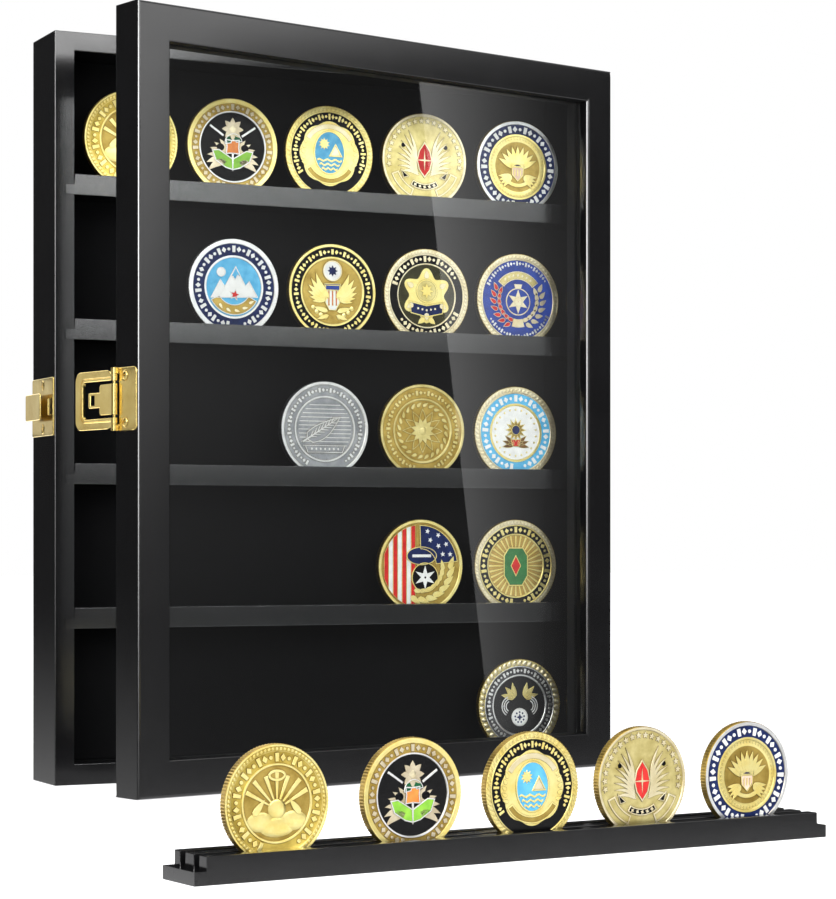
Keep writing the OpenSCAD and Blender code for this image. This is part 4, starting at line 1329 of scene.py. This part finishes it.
strike(badge, "pale_gold", [
    (0.985, 1.45, "pale_gold"), (0.895, 1.45, "pale_gold"), (0.885, 1.62, "pale_gold"),
    (0.87, 1.62, "pale_gold"), (0.86, 1.4, "black_enamel"), (0.7, 1.4, "black_enamel"),
    (0.69, 1.62, "pale_gold"), (0.67, 1.62, "pale_gold"), (0.66, 1.38, "olive_enamel")])

# %% [markdown]
# Royal blue, with a gold arch above, a red spray of leaves, a gold one, and a star between them.

# %% Royal spray coin
def spray():
    rope(66, 0.935, 0.11, TOP, "pale_gold")
    marks(0.79, 0.09, 8, TOP - 0.04, "silver", -66, 62)
    marks(0.79, 0.09, 8, TOP - 0.04, "silver", 116, 242)
    plate(arc_band(-52, 52, 0.44, 0.62), TOP, "pale_gold", "antique_gold", 0.35)
    x, y = polar(-36, 0.53)
    dome(x, y, 0.035, 0.05, TOP + 0.03, "pale_gold", sides=8)
    around(7, -36, 36)
    for side, metal, fill in ((-1, "pale_gold", "red_enamel"), (1, "pale_gold", None)):
        for k in range(7):
            outer = blade(*polar(side * (70 + 15 * k), 0.54), side * (24 + 15 * k), 0.2, 0.1)
            inner = blade(*polar(side * (76 + 15 * k), 0.47), side * (-24 + 15 * k), 0.19, 0.095)
            plate(outer, TOP - 0.02, metal, fill, 0.14, slope=0.06)
            plate(inner, TOP - 0.1, metal, fill, 0.14, slope=0.06)
    plate(oval(0, -0.04, 0.3, 0.3, 32), TOP - 0.1, "pale_gold", "royal_enamel", 0.45)
    plate(star(0, -0.04, 6, 0.27, 0.12), TOP + 0.04, "pale_gold")
    plate(oval(0, -0.04, 0.11, 0.11, 20), TOP + 0.1, "pale_gold", "white_enamel", 0.25)
    dome(0, -0.04, 0.035, 0.035, TOP + 0.08, "red_enamel", sides=8)
    plate([(-0.1, 0.34), (0.1, 0.34), (0.07, 0.24), (-0.07, 0.24)], TOP, "pale_gold")
    plate(arc_band(165, 195, 0.42, 0.6), TOP, "pale_gold")


strike(spray, "pale_gold", [
    (0.985, 1.45, "pale_gold"), (0.89, 1.45, "pale_gold"), (0.88, 1.6, "pale_gold"),
    (0.865, 1.6, "pale_gold"), (0.855, 1.38, "royal_enamel")])

# %% [markdown]
# The silver coin carries one big leaf lying aslant over a scored ground, and a beaded band below.

# %% Silver leaf coin
def silver_leaf():
    marks(0.815, 0.1, 17, TOP - 0.06, "silver", -150, 150)
    for k in range(11):
        y = 0.5 - 0.085 * k
        half = math.sqrt(max(0.01, 0.63 ** 2 - y * y)) - 0.03
        plate(bar(-half, y, half, y, 0.02), 1.46, "silver", slope=0.04)
    plate(blade(-0.42, -0.22, 58, 0.92, 0.34, 0.04, 12), TOP - 0.02, "silver", "dull_silver", 0.35)
    for k in range(7):
        t = 0.12 + 0.1 * k
        x, y = polar(58, t * 0.92, -0.42, -0.22)
        for side in (-1, 1):
            plate(bar(x, y, *polar(58 + side * 34, 0.17 - 0.012 * abs(k - 3), x, y), 0.026, 0.014),
                  TOP + 0.03, "silver", slope=0.05)
    stalk, tip = polar(58, -0.1, -0.42, -0.22), polar(58, 0.86, -0.42, -0.22)
    plate(bar(*stalk, *tip, 0.04, 0.015), TOP + 0.06, "silver")
    plate([(-0.46, -0.34), (0.46, -0.34), (0.4, -0.5), (-0.4, -0.5)], TOP, "silver", "dull_silver", 0.3)
    for k in range(7):
        dome(-0.3 + 0.1 * k, -0.42, 0.028, 0.036, TOP + 0.02, "silver", sides=8)


strike(silver_leaf, "silver", [
    (0.985, TOP, "silver"), (0.935, TOP, "silver"), (0.92, 1.42, "dull_silver"),
    (0.7, 1.42, "dull_silver"), (0.69, 1.62, "silver"), (0.66, 1.62, "silver"),
    (0.65, 1.38, "dull_silver")], "dull_silver")

# %% [markdown]
# Antique gold with a twelve-petalled flower in two tiers and a ring of small leaves.

# %% Antique flower coin
def antique_flower():
    marks(0.81, 0.105, 17, TOP - 0.05, "antique_gold", -165, 165)
    plate(blade(*polar(0, 0.52), 60, 0.15, 0.07), TOP - 0.06, "antique_gold", slope=0.06)
    around(24)
    petals(12, 0.12, 0.36, 0.16, TOP - 0.12, "antique_gold", "ochre_gold")
    petals(12, 0.07, 0.22, 0.11, TOP - 0.02, "antique_gold", start=15)
    dome(0, 0, 0.11, 0.11, TOP + 0.06, "antique_gold", sides=16)
    for side in (-1, 1):
        dome(side * 0.81, -0.12, 0.035, 0.035, TOP, "antique_gold", sides=8)


strike(antique_flower, "antique_gold", [
    (0.985, TOP, "antique_gold"), (0.94, TOP, "antique_gold"), (0.925, 1.42, "ochre_gold"),
    (0.7, 1.42, "ochre_gold"), (0.69, 1.64, "antique_gold"), (0.66, 1.64, "antique_gold"),
    (0.645, 1.38, "ochre_gold")])

# %% [markdown]
# White centre in a sky-blue ring: gold dots round a small gold sun over leaves and a red cup.

# %% White sun coin
def white_sun():
    rope(60, 0.925, 0.12, TOP, "pale_gold")
    marks(0.745, 0.14, 12, TOP - 0.03, "white_enamel", -172, 172)
    beads(22, 0.5, 0.026, TOP - 0.05, "bright_gold")
    plate(star(0, 0.06, 12, 0.26, 0.15), TOP, "bright_gold", "ochre_gold", 0.25)
    plate(oval(0, 0.06, 0.11, 0.11, 20), TOP + 0.03, "bright_gold", "navy_enamel", 0.2)
    for side in (-1, 1):
        for k in range(3):
            plate(blade(side * 0.04, -0.26, side * (48 + 26 * k), 0.3, 0.1), TOP - 0.05 * k,
                  "antique_gold", "bronze", 0.15, slope=0.06)
    plate([(-0.13, -0.14), (0.13, -0.14), (0.08, -0.3), (-0.08, -0.3)],
          TOP + 0.04, "bright_gold", "red_enamel", 0.2)


strike(white_sun, "pale_gold", [
    (0.985, 1.45, "pale_gold"), (0.88, 1.45, "pale_gold"), (0.87, 1.6, "pale_gold"),
    (0.855, 1.6, "pale_gold"), (0.845, 1.42, "sky_enamel"), (0.645, 1.42, "sky_enamel"),
    (0.635, 1.64, "bright_gold"), (0.59, 1.64, "bright_gold"), (0.58, 1.4, "white_enamel")])

# %% [markdown]
# Red and white bars on the left, a starred navy field, a black disc, and gold leaves below.

# %% Striped coin
def stripes():
    for k in range(7):
        x0, x1 = -0.86 + 0.105 * k, -0.86 + 0.105 * (k + 1)
        y0, y1 = (0.9 * math.sqrt(1 - min(1, abs(x) / 0.9) ** 2) for x in (x0, x1))
        color = "white_enamel" if k % 2 else "red_enamel"
        plate([(x0, y0 * 0.98), (x0, -y0 * 0.98), (x1, -y1 * 0.98), (x1, y1 * 0.98)], 1.6, "bright_gold",
              color, 0.1, slope=0.05)
    plate(arc_band(-2, 84, 0.36, 0.88, 16), 1.66, "bright_gold", "navy_enamel", 0.3)
    for a, r in ((12, 0.76), (32, 0.78), (52, 0.76), (70, 0.74), (22, 0.6), (44, 0.6), (64, 0.58)):
        plate(star(*polar(a, r), 5, 0.06, 0.026, a), TOP, "white_enamel", floor=1.5, slope=0.05)
    plate(oval(0.02, 0.22, 0.36, 0.2, 32), TOP + 0.05, "bright_gold", "navy_enamel", 0.35)
    plate(bar(-0.2, 0.22, 0.24, 0.22, 0.06), TOP + 0.07, "white_enamel", floor=1.6, slope=0.05)
    plate(oval(0.1, -0.24, 0.32, 0.32, 36), TOP + 0.12, "bright_gold", "black_enamel", 0.4)
    plate(star(0.1, -0.24, 6, 0.26, 0.1), TOP + 0.16, "white_enamel", floor=1.6)
    dome(0.1, -0.24, 0.06, 0.06, TOP + 0.2, "black_enamel", floor=1.6)
    for k in range(8):
        lift = 0.03 * (k % 2)
        outer = blade(*polar(96 + 15 * k, 0.68), 20 + 15 * k, 0.3, 0.13)
        inner = blade(*polar(100 + 14 * k, 0.54), -10 + 15 * k, 0.24, 0.1)
        plate(outer, TOP - 0.1 + lift, "bright_gold", slope=0.08)
        plate(inner, TOP + lift, "bright_gold", slope=0.08)


strike(stripes, "bright_gold", [
    (0.985, TOP, "bright_gold"), (0.93, TOP, "bright_gold"), (0.915, 1.38, "ochre_gold")])

# %% [markdown]
# Bright rays on orange gold round a tall green octagon with a red lozenge, in a black ring.

# %% Green octagon coin
def octagon():
    rope(68, 0.94, 0.1, TOP, "pale_gold")
    marks(0.785, 0.13, 14, TOP - 0.04, "bright_gold", -172, 172)
    plate(bar(0, 0.28, 0, 0.66, 0.02, 0.05), 1.52, "bright_gold", slope=0.06)
    around(32)
    body = [(-0.3, 0.22), (-0.18, 0.4), (0.18, 0.4), (0.3, 0.22), (0.3, -0.22), (0.16, -0.44),
            (-0.16, -0.44), (-0.3, -0.22)]
    plate(body, TOP, "bright_gold", "green_enamel", 0.5)
    plate([(0, 0.24), (0.13, 0), (0, -0.24), (-0.13, 0)], TOP + 0.04, "bright_gold", "red_enamel", 0.3)


strike(octagon, "pale_gold", [
    (0.985, 1.45, "pale_gold"), (0.895, 1.45, "pale_gold"), (0.885, 1.62, "bright_gold"),
    (0.87, 1.62, "bright_gold"), (0.86, 1.4, "black_enamel"), (0.705, 1.4, "black_enamel"),
    (0.695, 1.62, "bright_gold"), (0.675, 1.62, "bright_gold"), (0.66, 1.38, "orange_gold")])

# %% [markdown]
# A black centre in a pewter ring, with a bold gold cord, silver knots and a small white disc.

# %% Pewter knot coin
def knot():
    rope(46, 0.915, 0.14, TOP, "pale_gold", lean=42)
    marks(0.75, 0.1, 15, TOP - 0.06, "silver", -150, 150)
    for side in (-1, 1):
        for k in range(3):
            plate(blade(side * 0.12, 0.16, side * (10 + 34 * k), 0.34, 0.13), TOP - 0.02 * k, "bright_gold",
                  "antique_gold", 0.2)
            plate(arc_band(side * 20, side * 150, 0.1 + 0.05 * k, 0.125 + 0.05 * k, 10, side * 0.22, -0.02),
                  TOP - 0.02, "silver", slope=0.05)
    plate(oval(0, -0.26, 0.2, 0.2, 28), TOP + 0.03, "silver", "white_enamel", 0.35)
    dome(0, -0.15, 0.03, 0.03, TOP + 0.05, "navy_enamel", sides=8)
    around(9, center=(0, -0.26))
    plate(star(0, -0.26, 4, 0.08, 0.035), TOP + 0.05, "navy_enamel", slope=0.04)


strike(knot, "pale_gold", [
    (0.985, 1.42, "antique_gold"), (0.86, 1.42, "antique_gold"), (0.85, 1.6, "silver"),
    (0.835, 1.6, "silver"), (0.825, 1.42, "pewter"), (0.675, 1.42, "pewter"),
    (0.665, 1.62, "silver"), (0.64, 1.62, "silver"), (0.625, 1.38, "black_enamel")])

# %% [markdown]
# Each coin node says where its coin stands. The flat design is copied with a mesh of its own,
# narrowed for the smaller coins of the free ledge, stood up to face the front and moved there.

# %% Setting the coins in place
def stand(design, node, turn=0.0):
    """Copies a design to a coin node, turned about the upright."""
    low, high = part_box(node)
    size = (high.z - low.z) / 2 / COIN_R
    mesh = designs[design].data.copy()
    coin = bpy.data.objects.new("struck_" + node, mesh)
    bpy.context.scene.collection.objects.link(coin)
    mesh.transform(Matrix.Translation((low + high) / 2) @ Matrix.Rotation(math.radians(turn), 4, "Z")
                   @ Matrix.Rotation(math.radians(90), 4, "X") @ Matrix.Diagonal((size, size, 1, 1)))
    finish_piece(coin, "case", node, angle=32, flat_faces=False)


FREE_TURN = 6.3
row_designs = {
    "coin_row1_1": "sunrise", "coin_row1_2": "garden", "coin_row1_3": "lake", "coin_row1_4": "lozenge",
    "coin_row1_5": "navy_fan", "coin_row2_2": "peaks", "coin_row2_3": "flower", "coin_row2_4": "badge",
    "coin_row2_5": "spray", "coin_row3_3": "silver_leaf", "coin_row3_4": "antique_flower",
    "coin_row3_5": "white_sun", "coin_row4_4": "stripes", "coin_row4_5": "octagon", "coin_row5_5": "knot"}
free_designs = ("sunrise", "garden", "lake", "lozenge", "navy_fan")
for node, design in row_designs.items():
    stand(design, node)
for k, design in enumerate(free_designs, 1):
    stand(design, f"free_coin_{k}", FREE_TURN)
for design in designs.values():
    bpy.data.objects.remove(design)

# %% [markdown]
# Each board is mirrored in one group of pieces only, so every piece joins a group by its finish.
# The floor joins none, so that it mirrors no board. A board reflects nothing, so its group is of no
# account.

# %% Groups for the mirrored boards
for obj in bpy.data.objects:
    if obj.type == "MESH" and obj.data.materials and obj.data.materials[0] is not None:
        finish = obj.data.materials[0].name
        if finish == "ledge_lacquer":
            shelving.objects.link(obj)
        elif "lacquer" in finish or "black_" in finish and "enamel" not in finish or finish == "bead_black":
            woodwork.objects.link(obj)
        elif finish == "clear_glass":
            glazing.objects.link(obj)
        elif not finish.endswith("_board") and finish != "pale_floor":
            metalwork.objects.link(obj)
